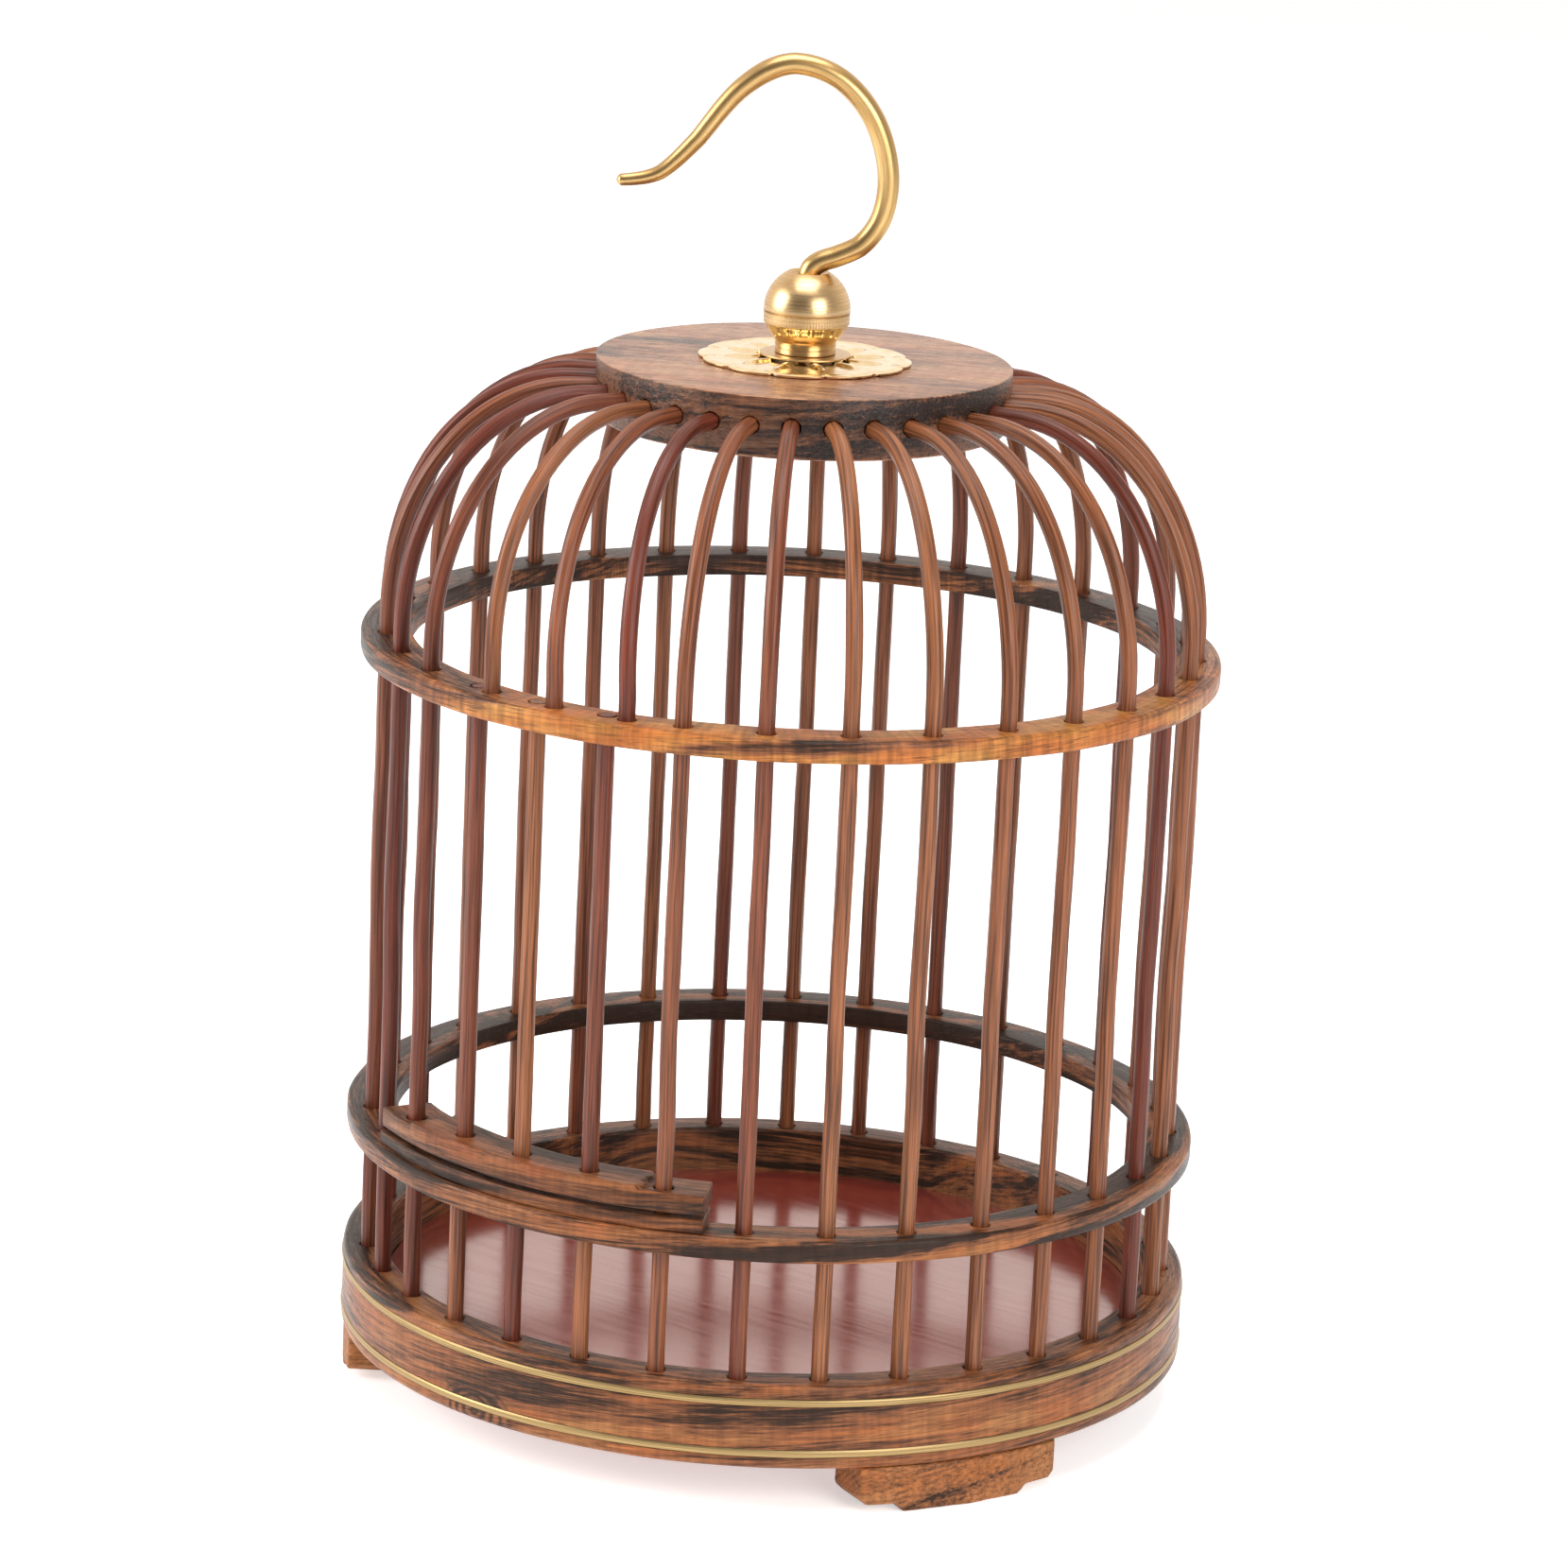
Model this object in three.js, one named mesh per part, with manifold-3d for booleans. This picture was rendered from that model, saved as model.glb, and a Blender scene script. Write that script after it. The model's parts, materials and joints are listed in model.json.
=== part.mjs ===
// A small round bird cage of turned rosewood and bamboo: a base ring on three bracket feet, two hoops,
// thirty-two bars that arch over into a round cap, a door that lifts between two guide bars, and a brass
// hook that swivels in a ball on the cap.
//
// Millimetres, +Z up. The origin is the middle of the cage on the surface that its feet stand on.
// The door faces -Y, and azimuths are degrees anticlockwise from +X, seen from above.
import * as THREE from "three";
import { mergeVertices } from "three/addons/utils/BufferGeometryUtils.js";
import Module from "manifold-3d";

const wasm = await Module();
wasm.setup();

// ---- Driving dimensions ------------------------------------------------------------------------

const CAGE_RADIUS = 60; // outside of the base ring and of both hoops
const HOOP_WIDTH = 7; // radial
const HOOP_THICKNESS = 3.1;
const HOOP_EDGE = 0.6; // rounding of a hoop's outer edges

const BASE_HEIGHT = 11.8;
const BASE_WALL = 6; // radial, above the floor board
const BASE_EDGE = 1; // rounding of the base ring's outer edges
const FLOOR_DROP = 6.4; // from the ring's top down to the floor board
const FLOOR_THICKNESS = 3;
const LEDGE_WIDTH = 4; // the rebate that the floor board lies on

const INLAY_HEIGHT = 1;
const INLAY_DEPTH = 0.9;
const INLAY_EDGE_DISTANCE = 2.3; // from each end face of the base ring to the middle of its inlay

const FOOT_HEIGHT = 6.6;
const FOOT_WIDTH = 30.4; // along the ring
const FOOT_LOW_WIDTH = 18; // of the lowest part, that stands on the ground
const FOOT_DEPTH = 7; // radial
const FOOT_SET_BACK = 0.4; // from the ring's outer face
const FOOT_FLANK = 1.2; // how far the flanks stay off the ground
const FOOT_CHAMFER = 1;
const FOOT_COUNT = 3;
const FOOT_TURN = 5.5; // degrees that the circle of feet is turned from the door's centre line

const BAR_COUNT = 32;
const BAR_DIAMETER = 2.3;
const BAR_SOCKET = 4; // depth in the base ring
const LOWER_BAY = 17.3; // clear height between the base ring and the lower hoop
const DOOR_BAY = 65.6; // clear height between the two hoops
const DOME_RISE = 35.2; // from the upper hoop's top to the level of the cap's holes
const DOME_STRAIGHT = 3.2; // upright stretch of a bar over the upper hoop
const DOME_SHOULDER = 3.2; // level stretch of a bar outside the cap

const CAP_RADIUS = 28.8;
const CAP_THICKNESS = 8.5;
const CAP_HOLE_DROP = 4.1; // from the cap's top to its holes
const CAP_SOCKET = 3.6; // depth of its holes
const CAP_TAPER = 0.5; // how much smaller the radius is at the bottom face

const DOOR_BARS = 3;
const SILL_HEIGHT = 2;
const SILL_SET_BACK = 0.8; // from the hoop's outer face
const SILL_WIDTH = 7; // radial
const RAIL_HEIGHT = 3.2;
const RAIL_SET_BACK = 1.1;
const RAIL_WIDTH = 7.2; // radial
const RAIL_REST_GAP = 0.55; // between the sill and the closed door's rail
const RAIL_STEP = 0.5; // how much lower the rail's ends are
const RAIL_OVERHANG = 6; // of the rail and the sill past the guide bars, along the ring
const RAIL_STEP_INSET = 3; // from each guide bar to the step, along the ring
const DOOR_BAR_INSET = 0.8; // the door's bars stand this much nearer the middle than the others
const DOME_FOOT_WEB = 0.95; // along the hoop, between a door bar and the dome bar that starts beside it
const DOME_FOOT_SOCKET = 2.4; // depth of that dome bar's hole in the hoop

const BALL_RADIUS = 6;
const BALL_LIFT = 7.1; // from the cap's top to the ball's centre
const BALL_SEAM_DROP = 1.9; // from the ball's centre to the joint between its two halves
const BALL_WALL = 1.5;
const BALL_MOUTH_RADIUS = 2.9; // of the flared mouth that the hook comes out of
const BALL_MOUTH_DEPTH = 1;
const SPIGOT_LENGTH = 1.6; // of the lower half, inside the upper half
const SPIGOT_WALL = 1;
const NECK_RADIUS = 4.2;
const STUD_RADIUS = 2;
const FLANGE_RADIUS = 6.3;
const FLANGE_THICKNESS = 0.5;
const ROSETTE_RADIUS = 14.8;
const ROSETTE_LOBES = 12;
const ROSETTE_LOBE_HEIGHT = 0.95;
const ROSETTE_TURN = 3.5; // degrees from +X to the middle of a lobe
const ROSETTE_THICKNESS = 0.45;
const WASHER_RADIUS = 5;
const WASHER_THICKNESS = 0.8;
const NUT_ACROSS_FLATS = 7;
const NUT_THICKNESS = 3.2;
const STUD_END = 1; // of the stud, below its nut

const HOOK_DIAMETER = 3;
const HOOK_TIP_DIAMETER = 1.4;
const HOOK_TAPER_FROM = 0.74; // share of the line's points after which it tapers
const HOOK_HEAD_HEIGHT = 1.2; // of the head that keeps the wire in the ball
const HOOK_YAW = 36.5; // degrees from +X to the plane of the hook at rest

// ---- Clearances --------------------------------------------------------------------------------

const SEAT_GAP = 0.05; // between two pieces that are glued or screwed face to face
const SOCKET_GAP = 0.05; // all round a bar that is glued in its hole
const SLIDE_GAP = 0.25; // all round a bar that slides, or that the door slides on
const SWIVEL_GAP = 0.08; // all round the hook's stem in the ball
const HEAD_GAP = 0.3; // round the hook's head inside the ball

// ---- Facets ------------------------------------------------------------------------------------

const RING_FACETS = 64;
const CAP_FACETS = 64;
const BRASS_FACETS = 24;
const BAR_FACETS = 8;
const WIRE_FACETS = 12;
const WIRE_STEPS = 3; // from one point of the hook's line to the next
const DOME_STEPS = 6;
const EDGE_STEPS = 1;
const SECTOR_FACETS = 14;

// ---- Levels and radii that follow --------------------------------------------------------------

const baseBottom = FOOT_HEIGHT;
const baseTop = baseBottom + BASE_HEIGHT;
const floorTop = baseTop - FLOOR_DROP;
const floorBottom = floorTop - FLOOR_THICKNESS;
const lowerHoopBottom = baseTop + LOWER_BAY;
const lowerHoopTop = lowerHoopBottom + HOOP_THICKNESS;
const upperHoopBottom = lowerHoopTop + DOOR_BAY;
const upperHoopTop = upperHoopBottom + HOOP_THICKNESS;
const capHoleLevel = upperHoopTop + DOME_RISE;
const capTop = capHoleLevel + CAP_HOLE_DROP;
const capBottom = capTop - CAP_THICKNESS;

const barRadius = BAR_DIAMETER / 2;
const barCircle = CAGE_RADIUS - HOOP_WIDTH / 2;
const doorBarCircle = barCircle - DOOR_BAR_INSET;
const barPitch = 360 / BAR_COUNT;
const guideIndex = (DOOR_BARS + 1) / 2; // bars are counted from the middle of the door
const guideAngle = guideIndex * barPitch;
const baseInnerRadius = CAGE_RADIUS - BASE_WALL;
const railHalfAngle = guideAngle + alongRing(RAIL_OVERHANG);
const railStepAngle = guideAngle - alongRing(RAIL_STEP_INSET);
const domeFootAngle = alongRing(BAR_DIAMETER + DOME_FOOT_WEB);
const doorAzimuth = -90;

const sillBottom = lowerHoopTop + SEAT_GAP;
const sillTop = lowerHoopTop + SILL_HEIGHT;
const railBottom = sillTop + RAIL_REST_GAP;
const railTop = railBottom + RAIL_HEIGHT;

const rosetteBottom = capTop + SEAT_GAP;
const rosetteTop = rosetteBottom + ROSETTE_THICKNESS;
const flangeBottom = rosetteTop + SEAT_GAP;
const flangeTop = flangeBottom + FLANGE_THICKNESS;
const neckBottom = flangeTop + SEAT_GAP;
const ballCentre = capTop + BALL_LIFT;
const ballSeam = ballCentre - BALL_SEAM_DROP;
const washerTop = capBottom - SEAT_GAP;
const washerBottom = washerTop - WASHER_THICKNESS;
const nutTop = washerBottom - SEAT_GAP;
const nutBottom = nutTop - NUT_THICKNESS;
const stemRadius = HOOK_DIAMETER / 2;
const studHole = STUD_RADIUS + SOCKET_GAP;

// ---- Materials ---------------------------------------------------------------------------------

const rosewood = material(0x9b6238, 0.45);
const darkRosewood = material(0x6e4a33, 0.5);
const bamboo = material(0x8a4a2e, 0.5);
const lacquer = material(0x8a3a2c, 0.15);
const brass = material(0xb8954a, 0.3, 1);
const polishedBrass = material(0xe0c88a, 0.12, 1);

function material(color, roughness, metalness = 0) {
  return new THREE.MeshStandardMaterial({ color, roughness, metalness });
}

// ---- Geometry helpers --------------------------------------------------------------------------

/** Degrees round the circle of bars for a length along it. */
function alongRing(length) {
  return THREE.MathUtils.radToDeg(length / barCircle);
}

/** The radius of a faceted hole whose flats clear a round of this radius by a gap. */
function holeRadius(radius, gap, facets = BAR_FACETS) {
  return (radius + gap) / Math.cos(Math.PI / facets);
}

/** The curveSegments that give an arc of a Shape this many facets: three.js doubles them. */
function arcSegments(facets) {
  return facets / 2;
}

/** A geometry as a manifold-3d solid. */
function toSolid(geometry) {
  const bare = geometry.clone();
  bare.deleteAttribute("normal");
  bare.deleteAttribute("uv");
  const merged = mergeVertices(bare, 1e-4);
  return new wasm.Manifold(
    new wasm.Mesh({
      numProp: 3,
      vertProperties: new Float32Array(merged.attributes.position.array),
      triVerts: new Uint32Array(merged.index.array),
    }),
  );
}

/** A manifold-3d solid as a geometry. */
function toGeometry(solid) {
  const { vertProperties, triVerts } = solid.getMesh();
  const geometry = new THREE.BufferGeometry();
  geometry.setAttribute("position", new THREE.BufferAttribute(vertProperties, 3));
  geometry.setIndex(new THREE.BufferAttribute(triVerts, 1));
  geometry.computeVertexNormals();
  return geometry;
}

/** A geometry with each of the tools cut out of it. */
function cut(geometry, tools) {
  const solid = tools.reduce((rest, tool) => rest.subtract(toSolid(tool)), toSolid(geometry));
  return toGeometry(solid);
}

/** A body turned round Z from a closed or axis-to-axis outline of [radius, height] points. */
function turned(outline, facets) {
  const points = outline.map(([radius, height]) => new THREE.Vector2(radius, height));
  return new THREE.LatheGeometry(points, facets).rotateX(Math.PI / 2);
}

/** A closed ring outline, anticlockwise, whose two outer edges are rounded. */
function ringOutline(innerRadius, outerRadius, bottom, top, edge) {
  const outline = [[innerRadius, bottom]];
  for (let i = 0; i <= EDGE_STEPS; i++) {
    const angle = (i / EDGE_STEPS) * (Math.PI / 2);
    const radius = outerRadius - edge + edge * Math.sin(angle);
    outline.push([radius, bottom + edge - edge * Math.cos(angle)]);
  }
  for (let i = 0; i <= EDGE_STEPS; i++) {
    const angle = (i / EDGE_STEPS) * (Math.PI / 2);
    const radius = outerRadius - edge + edge * Math.cos(angle);
    outline.push([radius, top - edge + edge * Math.sin(angle)]);
  }
  outline.push([innerRadius, top], [innerRadius, bottom]);
  return outline;
}

/** An upright cylinder from one level to another, on the circle of a radius at an azimuth. */
function post(radius, bottom, top, circle, azimuth, facets = BAR_FACETS) {
  const angle = THREE.MathUtils.degToRad(azimuth);
  return new THREE.CylinderGeometry(radius, radius, top - bottom, facets)
    .rotateX(Math.PI / 2)
    .translate(circle * Math.cos(angle), circle * Math.sin(angle), (bottom + top) / 2);
}

/** A flat sector of a ring, centred on an azimuth, from one level to another. */
function sector(innerRadius, outerRadius, azimuth, from, to, bottom, top) {
  const start = THREE.MathUtils.degToRad(azimuth + from);
  const end = THREE.MathUtils.degToRad(azimuth + to);
  const shape = new THREE.Shape();
  shape.absarc(0, 0, outerRadius, start, end, false);
  shape.absarc(0, 0, innerRadius, end, start, true);
  return new THREE.ExtrudeGeometry(shape, {
    depth: top - bottom,
    bevelEnabled: false,
    curveSegments: arcSegments(SECTOR_FACETS),
  }).translate(0, 0, bottom);
}

/** A rod of one round section along a path, with a number of steps. */
function rod(path, radius, facets, steps) {
  const section = new THREE.Shape();
  section.absarc(0, 0, radius, 0, 2 * Math.PI, false);
  return new THREE.ExtrudeGeometry(section, {
    extrudePath: path,
    steps,
    curveSegments: arcSegments(facets),
    bevelEnabled: false,
  });
}

/** The azimuth of a bar, counted from the middle of the door. */
function barAzimuth(index) {
  return doorAzimuth + index * barPitch;
}

/** Every index from one to another. */
function range(from, to) {
  return Array.from({ length: to - from + 1 }, (_, i) => from + i);
}

const object = new THREE.Group();
object.name = "bird_cage";

/** Adds a named mesh to the object, turned about Z by an azimuth in degrees. */
function add(name, geometry, finish, azimuth = 0, group = object) {
  const mesh = new THREE.Mesh(geometry, finish.clone());
  mesh.name = name;
  mesh.rotation.z = THREE.MathUtils.degToRad(azimuth);
  group.add(mesh);
}

// ---- The path of a bar -------------------------------------------------------------------------

/**
 * A bar's centre line, in the XZ plane: upright from its foot, over a quarter of an ellipse, and level into
 * the cap. Its foot may stand at another azimuth than its end, and then it leans evenly over the dome.
 */
class BarPath extends THREE.Curve {
  constructor(foot, lean = 0) {
    super();
    this.foot = foot;
    this.lean = THREE.MathUtils.degToRad(lean);
  }

  getPoint(t, target = new THREE.Vector3()) {
    const innermost = CAP_RADIUS + DOME_SHOULDER;
    const springing = upperHoopTop + DOME_STRAIGHT;
    const place = t * BarPath.steps;
    const over = THREE.MathUtils.clamp((place - 1) / DOME_STEPS, 0, 1);
    const angle = (over * Math.PI) / 2;
    let radius = innermost + (barCircle - innermost) * Math.cos(angle);
    let height = springing + (capHoleLevel - springing) * Math.sin(angle);
    if (place < 1) height = THREE.MathUtils.lerp(this.foot, springing, place);
    if (place > BarPath.steps - 1) {
      const end = CAP_RADIUS - CAP_SOCKET + SEAT_GAP;
      radius = THREE.MathUtils.lerp(innermost, end, place - BarPath.steps + 1);
    }
    const azimuth = this.lean * (1 - over);
    return target.set(radius * Math.cos(azimuth), radius * Math.sin(azimuth), height);
  }

  /** Steps are shared out by the formula above and not by length. */
  getUtoTmapping(u) {
    return u;
  }

  static steps = DOME_STEPS + 2;
}

function archedBar(foot, lean) {
  return rod(new BarPath(foot, lean), barRadius, BAR_FACETS, BarPath.steps);
}

// ---- Base --------------------------------------------------------------------------------------

const barHole = holeRadius(barRadius, SOCKET_GAP);
const socketBottom = baseTop - BAR_SOCKET;
const inlayLevels = {
  brass_inlay_lower: baseBottom + INLAY_EDGE_DISTANCE,
  brass_inlay_upper: baseTop - INLAY_EDGE_DISTANCE,
};

/** The ring of one inlay, or the wider groove that it lies in. */
function inlayRing(level, gap, outerRadius) {
  const inner = CAGE_RADIUS - INLAY_DEPTH - gap;
  const half = INLAY_HEIGHT / 2 + gap;
  const outline = [
    [inner, level - half],
    [outerRadius, level - half],
    [outerRadius, level + half],
    [inner, level + half],
    [inner, level - half],
  ];
  return turned(outline, RING_FACETS);
}

function baseRing() {
  const outline = ringOutline(baseInnerRadius, CAGE_RADIUS, baseBottom, baseTop, BASE_EDGE);
  const ledge = [
    [baseInnerRadius - LEDGE_WIDTH, floorBottom - SEAT_GAP],
    [baseInnerRadius - LEDGE_WIDTH, baseBottom],
  ];
  outline.splice(-1, 1, [baseInnerRadius, floorBottom - SEAT_GAP], ...ledge);
  outline[0] = ledge[1];
  const sockets = range(0, BAR_COUNT - 1).map((index) =>
    post(barHole, socketBottom, baseTop + 1, barCircle, barAzimuth(index)),
  );
  const grooves = Object.values(inlayLevels).map((level) =>
    inlayRing(level, SEAT_GAP, CAGE_RADIUS + 1),
  );
  return cut(turned(outline, RING_FACETS), [...sockets, ...grooves]);
}

/** A bracket foot on +X: a sector of a ring, stepped up at its flanks and chamfered at its ends. */
function foot() {
  const outer = CAGE_RADIUS - FOOT_SET_BACK;
  const inner = outer - FOOT_DEPTH;
  const half = FOOT_WIDTH / 2;
  const low = FOOT_LOW_WIDTH / 2;
  const top = baseBottom - SEAT_GAP;
  const side = [
    [low, 0],
    [low + FOOT_FLANK, FOOT_FLANK],
    [half - FOOT_CHAMFER, FOOT_FLANK],
    [half, FOOT_FLANK + FOOT_CHAMFER],
    [half, top],
  ];
  const mirrored = side.map(([along, height]) => [-along, height]).reverse();
  const elevation = new THREE.Shape([...mirrored, ...side].map((p) => new THREE.Vector2(...p)));
  const block = new THREE.ExtrudeGeometry(elevation, { depth: 2 * outer, bevelEnabled: false })
    .rotateX(Math.PI / 2)
    .rotateZ(Math.PI / 2);
  const spread = THREE.MathUtils.radToDeg(FOOT_WIDTH / inner);
  const ring = sector(inner, outer, 0, -spread, spread, -1, FOOT_HEIGHT + 1);
  return toGeometry(toSolid(block).intersect(toSolid(ring)));
}

function floorBoard() {
  const radius = baseInnerRadius - SOCKET_GAP;
  const outline = [
    [0, floorBottom],
    [radius, floorBottom],
    [radius, floorTop],
    [0, floorTop],
  ];
  return turned(outline, RING_FACETS);
}

add("base_ring", baseRing(), rosewood);
add("floor_board", floorBoard(), lacquer);
for (const [name, level] of Object.entries(inlayLevels)) {
  add(name, inlayRing(level, 0, CAGE_RADIUS), brass);
}
const footNames = ["foot_front_left", "foot_front_right", "foot_back"];
for (const [index, name] of footNames.entries()) {
  const azimuth = doorAzimuth + FOOT_TURN + (index - 0.5) * (360 / FOOT_COUNT);
  add(name, foot(), rosewood, azimuth);
}

// ---- Hoops -------------------------------------------------------------------------------------

function hoop(bottom, holes) {
  const inner = CAGE_RADIUS - HOOP_WIDTH;
  const outline = ringOutline(inner, CAGE_RADIUS, bottom, bottom + HOOP_THICKNESS, HOOP_EDGE);
  return cut(turned(outline, RING_FACETS), holes);
}

/** Whether a bar belongs to the door bay: the bars there stop at the lower hoop. */
function inDoorBay(index) {
  return Math.min(index, BAR_COUNT - index) < guideIndex;
}

const allBars = range(0, BAR_COUNT - 1);
const doorBars = range(1 - guideIndex, guideIndex - 1);
const throughHole = (bottom, index) =>
  post(barHole, bottom - 1, bottom + HOOP_THICKNESS + 1, barCircle, barAzimuth(index));
const doorHole = (index) =>
  post(
    holeRadius(barRadius, SLIDE_GAP),
    upperHoopBottom - 1,
    upperHoopTop + 1,
    doorBarCircle,
    barAzimuth(index),
  );
const domeFootHole = (index) =>
  post(
    barHole,
    upperHoopTop - DOME_FOOT_SOCKET,
    upperHoopTop + 1,
    barCircle,
    barAzimuth(index) + domeFootAngle,
  );

add(
  "lower_hoop",
  hoop(
    lowerHoopBottom,
    allBars.map((index) => throughHole(lowerHoopBottom, index)),
  ),
  rosewood,
);
add(
  "upper_hoop",
  hoop(upperHoopBottom, [
    ...allBars.filter((index) => !inDoorBay(index)).map((i) => throughHole(upperHoopBottom, i)),
    ...doorBars.map(doorHole),
    ...doorBars.map(domeFootHole),
  ]),
  rosewood,
);

// ---- Bars --------------------------------------------------------------------------------------

const barFoot = socketBottom + SEAT_GAP;

for (const index of allBars.filter((i) => !inDoorBay(i))) {
  const fromDoor = Math.min(index, BAR_COUNT - index);
  const side = index < BAR_COUNT / 2 ? "right" : "left";
  const number = String(index - guideIndex).padStart(2, "0");
  const name = fromDoor === guideIndex ? `guide_bar_${side}` : `cage_bar_${number}`;
  add(name, archedBar(barFoot), bamboo, barAzimuth(index));
}

const places = ["left", "middle", "right"];
for (const [i, index] of doorBars.entries()) {
  const azimuth = barAzimuth(index);
  const shortTop = lowerHoopTop - SEAT_GAP;
  add(`short_bar_${places[i]}`, post(barRadius, barFoot, shortTop, barCircle, azimuth), bamboo);
  const domeFoot = upperHoopTop - DOME_FOOT_SOCKET + SEAT_GAP;
  add(`dome_bar_${places[i]}`, archedBar(domeFoot, domeFootAngle), bamboo, azimuth);
}

// ---- Door --------------------------------------------------------------------------------------

/** The holes that the two guide bars pass through. */
function guideHoles(bottom, top, gap) {
  return [-guideAngle, guideAngle].map((angle) =>
    post(holeRadius(barRadius, gap), bottom - 1, top + 1, barCircle, doorAzimuth + angle),
  );
}

function sill() {
  const outer = CAGE_RADIUS - SILL_SET_BACK;
  const body = sector(
    outer - SILL_WIDTH,
    outer,
    doorAzimuth,
    -railHalfAngle,
    railHalfAngle,
    sillBottom,
    sillTop,
  );
  return cut(body, guideHoles(sillBottom, sillTop, SOCKET_GAP));
}

const railSocketBottom = railBottom + 1;

function rail() {
  const outer = CAGE_RADIUS - RAIL_SET_BACK;
  const inner = outer - RAIL_WIDTH;
  const piece = (from, to, bottom, top, grow = 0) =>
    sector(inner - grow, outer + grow, doorAzimuth, from, to, bottom, top);
  const body = piece(-railHalfAngle, railHalfAngle, railBottom, railTop);
  const past = railHalfAngle + 1;
  const steps = [
    piece(-past, -railStepAngle, railTop - RAIL_STEP, railTop + 1, 1),
    piece(railStepAngle, past, railTop - RAIL_STEP, railTop + 1, 1),
  ];
  const sockets = doorBars.map((index) =>
    post(barHole, railSocketBottom, railTop + 1, doorBarCircle, barAzimuth(index)),
  );
  return cut(body, [...steps, ...guideHoles(railBottom, railTop, SLIDE_GAP), ...sockets]);
}

const door = new THREE.Group();
object.add(door);
add("door_sill", sill(), rosewood);
add("door_rail", rail(), rosewood, 0, door);
for (const [i, index] of doorBars.entries()) {
  const body = post(
    barRadius,
    railSocketBottom + SEAT_GAP,
    upperHoopTop,
    doorBarCircle,
    barAzimuth(index),
  );
  add(`door_bar_${places[i]}`, body, bamboo, 0, door);
}

// ---- Cap ---------------------------------------------------------------------------------------

function cap() {
  const outline = [
    [0, capBottom],
    [CAP_RADIUS - CAP_TAPER, capBottom],
    [CAP_RADIUS, capHoleLevel],
    [CAP_RADIUS, capTop],
    [0, capTop],
  ];
  const sockets = allBars.map((index) =>
    new THREE.CylinderGeometry(barHole, barHole, CAP_SOCKET + 1, BAR_FACETS)
      .rotateZ(Math.PI / 2)
      .translate(CAP_RADIUS + (1 - CAP_SOCKET) / 2, 0, capHoleLevel)
      .rotateZ(THREE.MathUtils.degToRad(barAzimuth(index))),
  );
  const bore = post(studHole, capBottom - 1, capTop + 1, 0, 0, BRASS_FACETS);
  return cut(turned(outline, CAP_FACETS), [...sockets, bore]);
}

/** A flat round plate on the axis, with a hole for the stud. */
function plate(radius, bottom, top) {
  const outline = [
    [studHole, bottom],
    [radius, bottom],
    [radius, top],
    [studHole, top],
    [studHole, bottom],
  ];
  return turned(outline, BRASS_FACETS);
}

/** The scalloped plate under the ball. */
function rosette() {
  const shape = new THREE.Shape();
  const facets = ROSETTE_LOBES * 4;
  for (let i = 0; i < facets; i++) {
    const angle = (i / facets) * 2 * Math.PI;
    const lobe = Math.abs(Math.cos((angle * ROSETTE_LOBES) / 2));
    const radius = ROSETTE_RADIUS - ROSETTE_LOBE_HEIGHT * (1 - lobe);
    const heading = angle + THREE.MathUtils.degToRad(ROSETTE_TURN);
    const [x, y] = [radius * Math.cos(heading), radius * Math.sin(heading)];
    if (i === 0) shape.moveTo(x, y);
    else shape.lineTo(x, y);
  }
  shape.closePath();
  const hole = new THREE.Path();
  hole.absarc(0, 0, studHole, 0, 2 * Math.PI, true);
  shape.holes.push(hole);
  return new THREE.ExtrudeGeometry(shape, {
    depth: ROSETTE_THICKNESS,
    bevelEnabled: false,
    curveSegments: arcSegments(BRASS_FACETS),
  }).translate(0, 0, rosetteBottom);
}

function nut() {
  const shape = new THREE.Shape();
  shape.absarc(0, 0, NUT_ACROSS_FLATS / 2 / Math.cos(Math.PI / 6), 0, 2 * Math.PI, false);
  const corners = shape.getPoints(arcSegments(6)).slice(0, 6);
  const body = new THREE.ExtrudeGeometry(new THREE.Shape(corners), {
    depth: NUT_THICKNESS,
    bevelEnabled: false,
  }).translate(0, 0, nutBottom);
  return cut(body, [post(studHole, nutBottom - 1, nutTop + 1, 0, 0, BRASS_FACETS)]);
}

add("cap", cap(), darkRosewood);
add("rosette_plate", rosette(), polishedBrass);
add("flange_washer", plate(FLANGE_RADIUS, flangeBottom, flangeTop), brass);
add("stud_washer", plate(WASHER_RADIUS, washerBottom, washerTop), brass);
add("stud_nut", nut(), brass);

// ---- Ball and hook -----------------------------------------------------------------------------

/** Points of the ball's outline, or of a hollow in it, between two levels. */
function ballArc(radius, from, to, steps) {
  return range(0, steps).map((i) => {
    const height = THREE.MathUtils.lerp(from, to, i / steps);
    return [Math.sqrt(Math.max(radius ** 2 - (height - ballCentre) ** 2, 0)), height];
  });
}

const cavityRadius = BALL_RADIUS - BALL_WALL;
const spigotRadius = Math.sqrt(cavityRadius ** 2 - BALL_SEAM_DROP ** 2) - SOCKET_GAP;
const headBottom = ballSeam + SPIGOT_LENGTH / 2;
const headTop = headBottom + HOOK_HEAD_HEIGHT;
const swivelBore = holeRadius(stemRadius, SWIVEL_GAP, BRASS_FACETS);
const shoulder = headTop + HEAD_GAP;
const recessRadius = spigotRadius - SPIGOT_WALL;
const ballLip = ballCentre + Math.sqrt(BALL_RADIUS ** 2 - BALL_MOUTH_RADIUS ** 2);
const mouthBottom = ballLip - BALL_MOUTH_DEPTH;

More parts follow.
